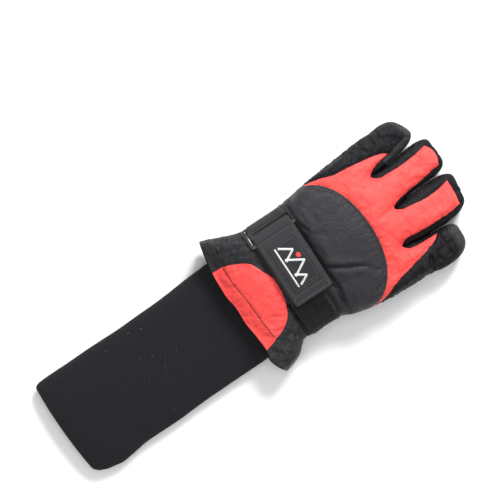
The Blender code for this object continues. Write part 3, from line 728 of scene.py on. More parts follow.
RED_THREAD_BRIGHT = thread_paint("red_thread", (0.85, 0.06, 0.06))


# --- the shell: back, palm and gauntlet as one inflated skin ---
def finger_of(points):
    """The number of the finger whose side of the creases each plan point is on."""
    x, y = points[:, 0], points[:, 1]
    made = np.zeros(len(points), int)
    for k, name in enumerate(FINGERS[:3]):
        made[x > np.interp(y, *CREASE_X[name])] = k + 1
    return made


def shell_mesh():
    """The smooth skin: one plan of triangles, with seams and cuts as edges, lifted to back and palm."""
    left, right, loop_end, anchor_end = -80, 80, 60, -60
    cuts = [((left, y), (right, y)) for y in (COVER_BOTTOM_Y, LEATHER_ROOT_Y, CUT_LOW, BEND_LOW_END)]
    cuts += [((LOOP_LEFT_X, y), (loop_end, y)) for y in (LOOP_LOW_Y, LOOP_HIGH_Y)]
    cuts += [((anchor_end, y), (ANCHOR_X, y)) for y in (ANCHOR_LOW_Y, ANCHOR_HIGH_Y)]
    cuts.append(((ANCHOR_X, ANCHOR_LOW_Y + 1), (ANCHOR_X, ANCHOR_HIGH_Y - 1)))
    lines = SEWN_LINES + [INDEX_SIDE_LINE, LITTLE_SIDE_LINE, LEATHER_LINE] \
        + [resampled(np.array(cut, float), CURVE_STEP) for cut in cuts]
    plan, faces = triangulated(OUTLINE, lines, GRID_STEP, (0.3, 0.9, 1.8, 3.0, SIDE_BAND))
    d, spot = nearest(plan, SIDE_LINE)
    x, y = plan.T
    verts = np.vstack([np.column_stack([plan, shape_z(x, y, d, upper)]) for upper in (True, False)])
    outward = (spot - plan) / np.maximum(np.linalg.norm(plan - spot, axis=1), 1e-6)[:, None]
    drop = (1 - dome(d, y)) * thickness(x, y) / 2 * smooth(12, 6, d) * 0.75
    return plan, faces, d, verts, np.vstack([plan + outward * drop[:, None]] * 2)


def cloth_puff(verts, faces, pins):
    """Lets the skin puff and pucker between its sewn seams, as a cloth under pressure, and returns its
    points. It runs on an enlarged copy, and no point moves more than the limit."""
    scale, limit, last_frame = 5.0, 2.4, 20
    mesh = bpy.data.meshes.new("puff")
    mesh.from_pydata((verts * MM * scale).tolist(), [], faces.tolist())
    obj = bpy.data.objects.new("puff", mesh)
    bpy.context.scene.collection.objects.link(obj)
    group = obj.vertex_groups.new(name="sewn")
    for weight in (SEWN, NEAR_SEAM):
        chosen = np.nonzero(np.isclose(pins, weight))[0]
        group.add([int(i) for i in chosen], weight, "REPLACE")
    cloth = obj.modifiers.new("Cloth", "CLOTH")
    for key, value in CLOTH_SETTINGS.items():
        setattr(cloth.settings, key, value)
    cloth.settings.effector_weights.gravity = 0
    cloth.collision_settings.use_collision = False
    scene = bpy.context.scene
    scene.frame_start, scene.frame_end = 1, last_frame
    for f in range(1, last_frame + 1):
        scene.frame_set(f)
    shown = obj.evaluated_get(bpy.context.evaluated_depsgraph_get())
    moved = np.array([v.co for v in shown.data.vertices], float).reshape(-1, 3) / (MM * scale)
    bpy.data.objects.remove(obj)
    scene.frame_set(1)
    step = moved - verts
    size = np.linalg.norm(step, axis=1)
    step *= (limit * np.tanh(size / limit) / np.maximum(size, 1e-9))[:, None]
    return verts + step


# Each fold is its line in plan, its depth and its width.
FOLDS = (
    # above the strap, and where the knuckles bend the half moon
    ([(-50, 70), (-42, 66.5), (-30, 67), (-22, 70)], 2.9, 1.6), ([(18, 65), (28, 66), (44, 63)], 2.4, 1.8),
    ([(-20, 66), (-16, 74), (-10, 80)], 0.9, 2.2), ([(44, 72), (52, 70), (60, 72)], 1.1, 2.0),
    ([(-44, 76), (-34, 80), (-22, 80)], 0.7, 2.6), ([(-8, 66), (-2, 70), (4, 69)], 0.8, 1.8),
    ([(30, 70), (38, 76), (48, 78)], 0.8, 2.2),
    # the red back
    ([(3, 138), (2.5, 130), (4, 123)], 0.8, 1.8), ([(8, 120), (21, 127), (33, 130)], 0.9, 1.5),
    ([(-42, 131), (-32, 126), (-20, 120)], 0.8, 1.6), ([(-24, 153), (-14, 157.5), (-4, 156)], 0.7, 1.3),
    ([(-24, 168), (-14, 166), (-5, 168)], 0.5, 1.3), ([(11, 156), (20, 160), (31, 157)], 0.8, 1.3),
    ([(12, 173), (21, 171), (31, 174)], 0.5, 1.4), ([(10, 141), (18, 138), (28, 133)], 0.8, 1.4),
    ([(-26, 138), (-14, 136), (-4, 140)], 0.6, 1.5), ([(44, 140), (50, 132), (54, 122)], 0.6, 1.6),
    ([(-52, 112), (-46, 118), (-38, 120)], 0.6, 1.6), ([(-46, 148), (-42, 143), (-36, 140)], 0.6, 1.3),
    # the index and little fingers
    ([(-62, 156), (-56, 158), (-49, 156)], 1.7, 1.3), ([(-63, 166), (-56, 165), (-47, 168)], 1.4, 1.3),
    ([(-59, 134), (-54, 138), (-51, 134)], 1.4, 1.2), ([(-60, 147), (-54, 147), (-50, 150)], 1.1, 1.2),
    ([(-58, 176), (-52, 174), (-46, 177)], 0.6, 1.4), ([(55, 147), (62, 142.5), (69, 145)], 2.6, 1.3),
    ([(54, 154), (60, 152), (66, 155)], 1.9, 1.3), ([(46, 162), (54, 160), (64, 163)], 1.4, 1.4),
    ([(60, 134), (64, 130), (66, 128)], 1.5, 1.3), ([(58, 120), (62, 124), (65, 122)], 1.1, 1.2),
    # the gauntlet, gathered at the wrist
    ([(-47, 17), (-53, 6), (-62, -6)], 1.7, 1.7), ([(-40, 18), (-44, 5), (-49, -8)], 1.5, 1.8),
    ([(-51, 19), (-57, 10), (-60, 4)], 1.3, 1.4), ([(-33, 17), (-36, 8), (-39, 0)], 1.0, 1.8),
    ([(33, 20), (40, 13), (46, 1), (50, -12)], 1.5, 1.8), ([(44, 17), (50, 9), (58, 0), (63, -10)], 2.0, 1.7),
    ([(50, 14), (56, 7), (62, 2)], 1.5, 1.4), ([(-24, 18.5), (-16, 20.5), (-6, 22)], 1.1, 1.5),
    ([(6, 22), (16, 22), (28, 19)], 1.0, 1.5), ([(-14, 12), (-10, 4), (-8, -6)], 0.5, 2.2),
    ([(12, 14), (15, 4), (15, -6)], 0.5, 2.4),
)


def loop_pad_zone(x, y):
    """1 on the loop pad, 0 off it, with a narrow slope between."""
    return smooth(LOOP_LEFT_X, LOOP_LEFT_X + 1.2, x) * smooth(LOOP_LOW_Y, LOOP_LOW_Y + 1.4, y) \
        * (1 - smooth(LOOP_HIGH_Y - 1.4, LOOP_HIGH_Y, y))


def anchor_zone(x, y):
    """1 on the ring's anchor, 0 off it."""
    return (1 - smooth(ANCHOR_X - 1.0, ANCHOR_X, x)) * smooth(ANCHOR_LOW_Y, ANCHOR_LOW_Y + 1.0, y) \
        * (1 - smooth(ANCHOR_HIGH_Y - 1.0, ANCHOR_HIGH_Y, y))


def crumples(points, scale, seed):
    """Thin creases where slow noise crosses zero, from 0 to 1."""
    return bell(fold_noise(points, scale, seed), 0.07)


def groove(plan, line, width):
    """1 along the line, falling to nothing beside it."""
    return bell(distance(plan, line), width)


def seam_relief(plan):
    """How far the padded half moon stands up and the seams of the back sink in."""
    cover = inside(plan, ARCH_POLYGON)
    to_arch, to_seam = distance(plan, ARCH), np.min([distance(plan, s) for s in RED_LINES], axis=0)
    rise = np.where(cover, 2.5 * np.sqrt(np.clip(to_arch / 3.0, 0, 1)) + 1.2 * smooth(3, 26, to_arch), 0)
    for row in KNUCKLE_ROWS:
        rise -= 0.95 * bell(to_arch - row, 0.7) * cover
    rise += 0.75 * smooth(0.4, 5, to_seam) * smooth(0, 4, to_arch) * ~cover * smooth(70, 90, plan[:, 1])
    rise -= (0.85 * bell(to_seam, 0.9) + 0.7 * bell(to_arch, 1.0)) * ~cover
    rise -= 0.6 * groove(plan, PATCH_LINE, 0.9) + 0.5 * groove(plan, HEM_STITCH_LINE, 0.8)
    for line in (INDEX_CAP_LINE, LITTLE_CAP_LINE, INDEX_SIDE_LINE, LITTLE_SIDE_LINE):
        rise -= 0.7 * groove(plan, line, 0.9)
    return rise


def strap_relief(x, y):
    """The strap pulls the back in, and the cloth swells above it; the loop pad and the anchor stand up."""
    across = smooth(-55, -44, x) * (1 - smooth(44, 60, x))
    rise = -4.2 * bell(y - 63.2, 2.4) * across * (0.6 + 0.4 * np.sin(x / 7.0 + 1.0) ** 2)
    rise += (1.6 * bell(y - 74, 7.0) - 2.2 * bell(y - 43, 22, 6)) * across
    rise += (1.8 * bell(y - 61, 4.5) - 2.4 * bell(y - 53.2, 1.5)) * smooth(26, 31, x)
    rise += 1.1 * loop_pad_zone(x, y) + anchor_zone(x, y) * (0.8 + bell(x + 51.0, 2.6))
    return rise - 1.8 * bell(x + 45.4, 1.3) * smooth(24, 27, y) * (1 - smooth(59, 62, y))


def fold_relief(plan):
    """A pinch that runs up from the strap between two soft ridges, and every fold with a ridge beside it."""
    pinch = -2.8 * groove(plan, PINCH_LINE, 1.4) + 1.5 * groove(plan, PINCH_LINE + (-3.2, 3.0), 3.2) \
        + groove(plan, PINCH_LINE + (4.0, -3.0), 3.0)
    rise = pinch * (1 - 0.9 * smooth(84, 101, plan[:, 1]))
    for line, depth, width in FOLDS:
        line = curve(line)
        rise += depth * (0.45 * groove(plan, line + 0.75 * width, width * 1.4) - groove(plan, line, width))
    return rise


def crumple_relief(plan, verts):
    """Slow unevenness all over, and thin creases that are weaker on the padded half moon."""
    y = plan[:, 1]
    rise = np.where(y < 16, 0.9 * fold_noise(verts, (0.055, 0.02, 0.05), 1) * smooth(20, 8, y), 0)
    rise += 0.7 * fold_noise(verts, (0.045, 0.03, 0.03), 2) + 0.3 * fold_noise(verts, (0.13, 0.13, 0.1), 3)
    creases = 0.4 * crumples(verts, (0.05, 0.075, 0.03), 21) + 0.35 * crumples(verts, (0.09, 0.05, 0.03), 22)
    return rise - creases * (1 - inside(plan, ARCH_POLYGON) * 0.5)


def palm_relief(plan, d, verts):
    """Seams at the side bands, gathers at the wrist, quilting on the leather, wrinkles across the fingers."""
    x, y = plan.T
    patch, to_leather = inside(plan, LEATHER_LINE), distance(plan, LEATHER_LINE)
    under = np.sqrt(np.clip(to_leather / 2.0, 0, 1)) * patch - 0.5 * bell(to_leather, 0.9)
    for a, b in (((-5, 88), (28, 70)), ((-2, 98), (32, 80)), ((2, 108), (35, 90))):
        under -= 0.9 * groove(plan, (a, b), 1.6) * patch
    under -= 0.7 * bell(d - SIDE_BAND, 0.9) * smooth(60, 90, y)
    under += bell(y - 31, 13, 4) * (np.sin(x * 1.15 + 0.8 * np.sin(y * 0.12)) - 1.6)
    for middle in (150, 164, 178):
        under -= 0.7 * bell(y - middle - 1.6 * np.sin(x * 0.2), 1.8) * smooth(3, 7, d)
    under += 0.6 * fold_noise(verts, (0.05, 0.04, 0.03), 5)
    return under + 0.25 * fold_noise(verts, (0.14, 0.12, 0.1), 6)


def relieve(plan, d, verts, faces):
    """Moves the skin along its normals by the relief, which fades out towards the rim both sides share."""
    n = len(plan)
    rise = seam_relief(plan) + strap_relief(*plan.T) + fold_relief(plan) + crumple_relief(plan, verts[:n])
    fade = smooth(0.2, 4.0, d)
    step = np.concatenate([rise * (fade * 0.75 + 0.25), palm_relief(plan, d, verts[n:]) * fade])
    step[np.tile(d < RIM, 2)] = 0
    return verts + vertex_normals(verts, faces) * step[:, None]


def cloth_pins(plan, d):
    """How firmly each point of the skin is held: on the seams, the rim and the hem, and under the strap."""
    n, y = len(plan), plan[:, 1]
    pins = np.zeros(2 * n)
    close = np.min([distance(plan, line) for line in SEWN_LINES], axis=0)
    border = (d < 0.3) | (distance(plan, HEM_LINE) < 1)
    held = (close < 0.3) | border | ((y > 22) & (y < 60))
    pins[:n][held] = SEWN
    pins[:n][~held & (close < 2.4)] = NEAR_SEAM
    pins[n:][border | (np.abs(d - SIDE_BAND) < 0.4)] = SEWN
    return pins


def build_shell():
    """The finished skin: its plan, points, normals and triangles, and where the middle of each one lies."""
    plan, faces, d, verts, uv = shell_mesh()
    skin = two_sided(faces, d)
    verts = cloth_puff(verts, skin, cloth_pins(plan, d))
    verts = relieve(plan, d, verts, skin)
    verts[:, 2] = np.maximum(verts[:, 2], 0.15)
    return dict(plan=plan, d=d, verts=verts, normal=vertex_normals(verts, skin), uv=uv, skin=skin,
                middle=plan[faces].mean(1), middle_d=d[faces].mean(1))


def piece_labels(shell):
    """A name for every triangle of the skin: upper triangles first, then the palm side's."""
    c = shell["middle"]
    x, y = c.T
    side = shell["middle_d"] < SIDE_BAND
    finger, names = finger_of(c), np.array(FINGERS)[finger_of(c)]
    red, cover, patch = (inside(c, polygon) for polygon in (RED_POLYGON, ARCH_POLYGON, PATCH_POLYGON))
    past_index_seam = (y > np.interp(x, *INDEX_CAP_FRONT)) | (y > 150) & (x > np.interp(y, *INDEX_CAP_SIDE))
    cap = (finger == 0) & past_index_seam | (finger == 3) & (y > np.interp(x, *LITTLE_CAP_FRONT))
    strap_zones = ((x > LOOP_LEFT_X) & (LOOP_LOW_Y < y) & (y < LOOP_HIGH_Y),
                   (x < ANCHOR_X) & (ANCHOR_LOW_Y < y) & (y < ANCHOR_HIGH_Y))
    hand, gauntlet = y < CUT_LOW, y < COVER_BOTTOM_Y
    zone = np.where(y < BEND_LOW_END, "_lower", "_upper")
    flank = np.where(x < 0, "index_side_panel", "little_side_panel")
    crotch = (y > CROTCH_LOW_Y) & (CROTCH_LEFT_X < x) & (x < CROTCH_RIGHT_X)
    flank = np.where(crotch, "finger_crotches", flank)

    def joined(part):
        return np.char.add(np.char.add(names, part), zone)

    gusset = joined("_gusset")
    up = np.select(
        [*strap_zones, hand & cover, gauntlet & patch, gauntlet, hand & red, hand, red,
         cap & (zone == "_upper")],
        ["loop_pad", "strap_anchor", "knuckle_cover", "gauntlet_patch", "gauntlet_shell", "hand_back_red",
         flank, joined("_back"), np.char.add(names, "_tip_cap")], gusset)
    down = np.select(
        [strap_zones[0] & side, strap_zones[1] & side, strap_zones[0] | strap_zones[1], gauntlet, hand & side,
         hand & (y > LEATHER_ROOT_Y) & (finger < 2), hand & inside(c, np.array(LEATHER_SEAM)), hand, side],
        ["loop_pad", "strap_anchor", "palm_panel", "gauntlet_shell", flank, "palm_leather_roots",
         "palm_leather", "palm_panel", gusset], joined("_palm"))
    return np.concatenate([up, down])


def looks_of(name):
    """The material, the slot and the fill of a skin piece, by what it is made of."""
    finger = name.split("_")[0]
    if name in ("hand_back_red", "gauntlet_patch") or "_back_" in name:
        return RED, "red_shell", 0.6
    if name == "knuckle_cover":
        return RIPSTOP, "grey_ripstop", 0.7
    if name == "loop_pad":
        return LOOP, "loop_pile", 0.4
    if name == "strap_anchor":
        return WEBBING, "webbing", 0.3
    if "tip_cap" in name:
        return TIP_LEATHER, "leather", 0.6
    if name.startswith("palm_leather") or ("_palm_" in name and finger in ("index", "middle")):
        return LEATHER, "leather", 0.6
    # The gauntlet takes the lighter copy of the black nylon: painted light.
    if name == "gauntlet_shell":
        return GAUNTLET_BLACK_PAINTED_LIGHT, "black_shell", 0.5
    return BLACK, "black_shell", 0.5


STANDS_FOR = {
    "hand_back_red": ["hand_back_panel", "hand_insulation", "hand_lining"],
    "index_side_panel": ["hand_index_side_panel"],
    "little_side_panel": ["hand_little_side_panel"],
    "knuckle_cover": ["knuckle_cover", "knuckle_foam"],
    "palm_panel": ["palm_panel", "wrist_elastic"],
    "palm_leather": ["palm_patch"],
    **{name: [name] for name in ("gauntlet_shell", "gauntlet_patch", "loop_pad", "strap_anchor")},
}
TITLES = {"knuckle_cover": "knuckle_pad", "palm_panel": "palm_cloth", "gauntlet_patch": "gauntlet_red_patch",
          "gauntlet_shell": "gauntlet_cloth", "loop_pad": "loop_pad_pile",
          "strap_anchor": "strap_anchor_cloth"}
for _finger in FINGERS:
    STANDS_FOR[f"{_finger}_back_lower"] = [f"{_finger}_back_panel_base"]
    STANDS_FOR[f"{_finger}_palm_lower"] = [f"{_finger}_underside_base", f"{_finger}_liner_base"]
    STANDS_FOR[f"{_finger}_gusset_upper"] = [f"{_finger}_gusset_tip", f"{_finger}_back_panel_tip"]
    STANDS_FOR[f"{_finger}_palm_upper"] = [f"{_finger}_palm_panel_tip", f"{_finger}_liner_tip"]


def place(obj, body=None, zone=None, nodes=()):
    """Rides the piece on its body, or bakes a finger piece's place into its points, and hides the parts it
    stands for.
    """
    if zone == "lower":
        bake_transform(obj)
    elif zone == "upper":
        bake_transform(obj)
    else:
        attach(obj, body)
    if nodes:
        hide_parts(*nodes)


def make_skin(shell):
    """Splits the skin into its pieces, each with its material, and places them; a finger's pieces stay where
    they are.
    """
    labels = piece_labels(shell)
    for name in sorted(set(labels)):
        name = str(name)
        material, slot, fill = looks_of(name)
        obj = part_of(TITLES.get(name, name), shell["skin"][labels == name], shell["verts"], shell["uv"],
                      shell["normal"], material)
        finger, zone = name.split("_")[0], name.split("_")[-1].replace("cap", "upper")
        if finger not in FINGERS or zone not in ("lower", "upper"):
            finger = zone = None
        place(obj, "hand", zone, STANDS_FOR.get(name, ()))


def on_skin(shell, line, offset=0.0, upper=True):
    """Lays a plan line on the finished skin, as 3-D points."""
    n = len(shell["plan"])
    verts = shell["verts"][:n] if upper else shell["verts"][n:]
    out = []
    for p in np.asarray(line, float):
        d2 = ((shell["plan"] - p) ** 2).sum(1)
        k = np.argpartition(d2, 6)[:6]
        w = 1.0 / (d2[k] + 0.05)
        z = (verts[k, 2] * w).sum() / w.sum()
        out.append((p[0], p[1], z + (offset if upper else -offset)))
    return np.array(out)


def make_trim(shell):
    """The piping round the half moon and every row of topstitching that lies on the skin."""
    piping_foot, smoothed = 83, 7
    piping = on_skin(shell, ARCH[ARCH[:, 1] > piping_foot], 0.35)
    ends = smoothed // 2
    piping[ends:-ends, 2] = np.convolve(piping[:, 2], np.ones(smoothed) / smoothed, "valid")
    place(tube("knuckle_piping", piping, 0.95, PIPING, 10), "hand")
    rows = [on_skin(shell, arch_points(shift)[8:-8], 0.12) for shift in KNUCKLE_ROWS]
    place(stitch_row("knuckle_topstitch", rows, DARK_THREAD, 2.8, 2.2, 0.36), "hand")
    for finger, line in (("index", INDEX_CAP_LINE), ("little", LITTLE_CAP_LINE)):
        line = line[(line[:, 1] > BEND_HIGH_END) & (distance(line, SIDE_LINE) > 1.5)]
        row = on_skin(shell, line + np.array([0, -1.3]), 0.15)
        row = stitch_row(f"{finger}_cap_topstitch", [row], GREY_THREAD, 2.6, 1.9, 0.27)
        place(row, f"{finger}_tip")
    hem = HEM_STITCH_LINE[inside(HEM_STITCH_LINE, OUTLINE) & (distance(HEM_STITCH_LINE, SIDE_LINE) > 2.0)]
    in_patch = inside(hem, PATCH_POLYGON)
    red_row = on_skin(shell, hem[in_patch], 0.3)
    place(stitch_row("gauntlet_hem_stitch_red", [red_row], RED_THREAD, 2.6, 2.5, 0.42), "hand")
    left, right = hem[:np.argmax(in_patch)], hem[np.argmax(in_patch) + in_patch.sum():]
    rows = [on_skin(shell, left, 0.25), on_skin(shell, right, 0.25), on_skin(shell, hem, 0.25, False)]
    place(stitch_row("gauntlet_hem_stitch", rows, DARK_THREAD, 2.6, 2.4, 0.36), "hand")
    patch_rows = []
    for shift in (2.2, 4.4):
        for y in (56 + shift, 115 - shift):
            row = resampled(np.array([(-11 + shift, y), (38 - shift, y)]), 1.2)
            patch_rows.append(on_skin(shell, row, 0.15, False))
    place(stitch_row("palm_topstitch", patch_rows, GREY_THREAD), "hand")


# --- the closure ---
def frame_rows(box, inset, z_of, step=1.2):
    """The box's outline, moved inwards, as closed 3-D points at the heights that z_of gives."""
    x0, x1, y0, y1 = box
    line = closed(box_outline(x0 + inset, x1 - inset, y0 + inset, y1 - inset, 0.8, step))
    return np.column_stack([line, z_of(line)])


def make_closure():
    """The strap's tab, fold, label and hook patch, the ring with its bars, and the stitches."""
    tab = pad("strap_tab_cloth", box_outline(*TAB, 1.6), TAB_BASE, TAB_THICK, WEBBING, 0.9)
    place(tab, "strap", nodes=["strap_tab"])
    fold = box_outline(TAB[0], TAB[0] + 7.5, TAB[2] + 0.2, TAB[3] - 0.2, 1.2)
    place(pad("strap_fold", fold, TAB_BASE + 1.0, 1.3, WEBBING, 1.2), "strap")
    label = pad("label_patch_cloth", box_outline(*LABEL, 0.9), TAB_BASE + 1.3, 0.9, LABEL_CLOTH, 0.5,
                uv_turn=0.5)
    place(label, "strap", nodes=["label_patch"])
    hooks = pad("hook_patch_pile", box_outline(*HOOK, 1.0), TAB_BASE - 0.7, 0.65, HOOKS, 0.3, 1.8)
    place(hooks, "strap", nodes=["hook_patch"])
    ring = frame_rows(RING, RING_BAR / 2, lambda p: height_over(p) + RING_OVER, 1.0)[:-1]
    place(tube("buckle_loop", ring, RING_BAR / 2, GLOSS, 14, 0.55, joined=True), "buckle",
          nodes=["buckle_ring"])

    bar = np.column_stack([np.full(40, BUCKLE_BAR_X), np.linspace(RING[2] + 2, RING[3] - 2, 40)])
    bar = np.column_stack([bar, height_over(bar) + 0.9])
    place(tube("buckle_bar", bar, 0.95, GLOSS, 10), "buckle")

    def tab_top(p):
        return height_over(p) + TAB_BASE + TAB_THICK + 0.05

    def label_top(p):
        return height_over(p) + TAB_BASE + 2.25

    rows = [frame_rows(TAB, 2.6, tab_top), frame_rows(TAB_END_BOX, 0.2, tab_top)]
    cross = np.column_stack([np.full(30, TAB[0] + 9.0), np.linspace(TAB[2] + 3, TAB[3] - 3, 30)])
    rows.append(np.column_stack([cross, tab_top(cross)]))
    place(stitch_row("strap_topstitch", rows, GREY_THREAD, 2.6, 1.9, 0.27), "strap")
    rows = [frame_rows(LABEL, inset, label_top) for inset in (1.1, 3.6)]
    place(stitch_row("label_border_stitch", rows, GREY_THREAD, 1.5, 1.3, 0.26), "strap")
    make_embroidery(label_top)


def make_embroidery(top_of):
    """A plain mountain range in satin stitch with one red dot, in place of any name."""
    verts, faces = [], []

    def bar(a, b, width, height):
        a, b = np.array(a, float), np.array(b, float)
        along = (b - a) / np.linalg.norm(b - a)
        side = np.array([-along[1], along[0]])
        count = max(2, int(np.linalg.norm(b - a) / 0.55))
        for t in np.linspace(0, 1, count):
            mid = a + (b - a) * t
            first = len(verts)
            for k in range(5):
                s = (k / 4 - 0.5) * 2
                for w in (-0.24, 0.24):
                    p = mid + side * s * width / 2 + along * (w + 0.12 * s)
                    rise = height * math.sqrt(max(0, 1 - s ** 2)) * (1 if w < 0 else 0.82)
                    verts.append((p[0], p[1], top_of(p[None])[0] - 0.1 + rise))
            for k in range(4):
                q = first + 2 * k
                faces.append((q, q + 1, q + 3, q + 2))

    for left, top, right, peak in ((-23.5, -16.5, -10.5, 49), (-12, -3.5, 4.5, 52.5), (3, 8.6, 13, 47)):
        bar((left, PEAK_FOOT_Y), (top, peak), 2.0, 0.55)
        bar((top, peak), (right, PEAK_FOOT_Y), 2.0, 0.55)
    bar((-24.5, 35.6), (13.6, 35.6), 1.5, 0.5)
    place(make_object("mountain_embroidery", verts, faces, WHITE_THREAD), "strap")
    verts, faces = [], []
    (dot_x, dot_y), radius = DOT, DOT_RADIUS
    for x in np.arange(-1.9, 1.95, 0.475):
        bar((dot_x + x, dot_y), (dot_x + x + 0.48, dot_y), 2 * math.sqrt(max(0.0, radius ** 2 - x ** 2)), 0.5)
    place(make_object("sun_embroidery", verts, faces, RED_THREAD_BRIGHT), "strap")


# --- the gauntlet's hem and lining ---
def make_gauntlet_inside(shell):
    """The hem rolls under and runs back inside as the lining."""
    hem = np.vstack([HEM_LINE, HEM_LINE[::-1][1:-1]])
    count = len(HEM_LINE)
    upper = np.arange(len(hem)) < count
    plan, n = shell["plan"], len(shell["plan"])
    rings = []
    edge = np.zeros((len(hem), 3))
    for i, p in enumerate(hem):
        k = ((plan - p) ** 2).sum(1).argmin()
        edge[i] = shell["verts"][k if upper[i] or shell["d"][k] < RIM else n + k]
    middle_z = (edge[:, 2].max() + edge[:, 2].min()) / 2
    inward = np.array([GAUNTLET_MIDDLE_X, 0.0, middle_z]) - edge
    inward[:, 1] = 0
    inward[:, 0] *= np.clip(np.abs(edge[:, 0] - GAUNTLET_MIDDLE_X) - 40, 0, 100) / 60
    inward /= np.maximum(np.linalg.norm(inward, axis=1), 1e-6)[:, None]
    along = np.array([0, 1.0, 0])
    for a in np.radians((0, 45, 90, 135, 180)):
        rings.append(edge + inward * HEM_ROLL * (1 - math.cos(a)) - along * HEM_ROLL * math.sin(a))
    bead = len(rings)
    for run in (3, 7, 12, 17, 22, 27):
        inner = edge + inward * (2 * HEM_ROLL + 0.1 * run) + along * run
        inner[:, 0] = GAUNTLET_MIDDLE_X + (inner[:, 0] - GAUNTLET_MIDDLE_X) * (1 - LINING_TAPER * run)
        inner[:, 2] += lift(inner[:, 0], inner[:, 1]) - lift(edge[:, 0], edge[:, 1])
        rings.append(inner)
    for ring in rings:
        ring[:, 2] = np.maximum(ring[:, 2], FLOOR_GAP)
    m = len(hem)

    def strip(name, used, material, node):
        faces = [(a, d, c, b) for a, b, c, d in ring_faces(len(used), m)]
        around, deep = np.arange(m) * CURVE_STEP, np.arange(len(used)) * 3.0
        uv = np.column_stack([np.tile(around, len(used)), np.repeat(deep, m)])
        place(make_object(name, np.vstack(used), faces, material, uv), "hand", nodes=[node])

    strip("gauntlet_hem_roll", rings[:bead], BLACK, "gauntlet_hem_binding")
    strip("gauntlet_lining_cloth", rings[bead - 1:], FLEECE, "gauntlet_lining")


# --- the knit cuff ---
def cuff_ring(y, inset, angles, relief):
    """One ribbed ring of the flat tube, inset from its outside; the open end bows and slants a little."""
    ys = [s[0] for s in CUFF_STATIONS]
    left, right, low, high = (float(np.interp(y, ys, [s[k] for s in CUFF_STATIONS])) for k in (1, 2, 3, 4))
    half_x, half_z = (right - left) / 2 - inset, (high - low) / 2 - inset
    c, s = np.cos(angles), np.sin(angles)
    power = 2 / CUFF_POWER
    wave = relief * (np.abs(np.cos(np.interp(angles, CUFF_ANGLES, CUFF_RUN) * CUFF_RIBS / 2)) ** 0.7 - 0.6)
    x = (left + right) / 2 + (half_x + wave) * np.sign(c) * np.abs(c) ** power
    z = (low + high) / 2 + (half_z + wave) * np.sign(s) * np.abs(s) ** power
    z = z + lift(x, y)
    bow = 2.0 * (1 - ((x - (left + right) / 2) / half_x) ** 2) * smooth(-190, -200, y)
    return np.column_stack([x, np.full(len(x), y) - bow + 0.028 * (x - 4) * smooth(-188, -202, y), z])


def even_cuff_angles(count):
    """Angles that cut the flat cuff's section into equal lengths, and the share run at each as a turn."""
    fine = np.linspace(0, 2 * math.pi, 8001)
    c, s = np.cos(fine), np.sin(fine)
    power = 2 / CUFF_POWER
    x, z = 47 * np.sign(c) * np.abs(c) ** power, 8.2 * np.sign(s) * np.abs(s) ** power
    run = np.concatenate([[0], np.cumsum(np.hypot(np.diff(x), np.diff(z)))])
    angles = np.interp(np.linspace(0, run[-1], count, endpoint=False), run, fine)
    return angles, fine, run / run[-1] * 2 * math.pi, run[-1]


CUFF_SIDES = 6
_, CUFF_ANGLES, CUFF_RUN, CUFF_LENGTH = even_cuff_angles(8)
CUFF_RIBS = int(round(CUFF_LENGTH / RIB_PITCH))


def make_cuff():
    """The outer layer from the wrist to the open end, and the inner one folded back into it."""
    angles = even_cuff_angles(CUFF_RIBS * CUFF_SIDES)[0]
    outer = [y for y in np.arange(6, -201.5, -3.2)] + [-201.8, -202.8]
    rings, deep = [], []
    for y in outer:
        rings.append(cuff_ring(y, 0.0 if y > -201 else (0.2 if y > -202 else 0.7), angles, RIB_RELIEF))
        deep.append(-y)
    outer_count = len(rings)
    for y, inset in CUFF_INSIDE:
        rings.append(cuff_ring(y, inset, angles, RIB_RELIEF * 0.6))
        deep.append(406 + y)
    m = len(angles)
    points = np.vstack(rings)
    wobble = 0.7 * fold_noise(points, (0.02, 0.012, 0.02), 8)
    wobble += 0.25 * fold_noise(points, (0.09, 0.05, 0.05), 9)
    points[:, 2] += wobble * (points[:, 2] > 6)
    points[:, 0] += 0.6 * fold_noise(points, (0.0, 0.03, 0.0), 10) * (np.abs(points[:, 0] - 4.5) / 47) ** 2
    points[:, 2] = np.maximum(points[:, 2], FLOOR_GAP)
    rings = points.reshape(-1, m, 3)

    def part(name, first, last, nodes):
        used = rings[first:last + 1]
        across = np.tile(np.arange(m) * RIB_PITCH / CUFF_SIDES, len(used))
        uv = np.column_stack([across, np.repeat(deep[first:last + 1], m)])
        place(make_object(name, used.reshape(-1, 3), ring_faces(len(used), m), KNIT, uv), "hand",
              nodes=nodes)

    part("knit_cuff_outside", 0, outer_count, ["knit_cuff_outer_layer"])
    part("knit_cuff_inside", outer_count, len(rings) - 1, ["knit_cuff_inner_layer"])


def fibres(name, spots, lengths, radius, material, seed):
    """Loose curled fibres standing on 3-D spots, given with their outward directions."""
    draw = random.Random(seed)
    verts, faces = [], []
    for spot, out in spots:
        length = draw.uniform(*lengths)
        heading = np.array([draw.uniform(-1, 1), draw.uniform(-1, 1), draw.uniform(-0.3, 0.6)])
        heading /= np.linalg.norm(heading)
        curl = np.cross(out, heading) * draw.uniform(-0.8, 0.8)
        first = len(verts)
        for j in range(5):
            t = j / 4
            middle = spot + heading * length * t + curl * length * t * t + out * length * 0.8 * t * (1 - t)
            for k in range(3):
                a = 2 * math.pi * k / 3
                verts.append(middle + radius * np.array([math.cos(a), math.sin(a), math.sin(a + 0.8)]))
        faces += ring_faces(5, 3, first)
    place(make_object(name, verts, faces, material), "hand")


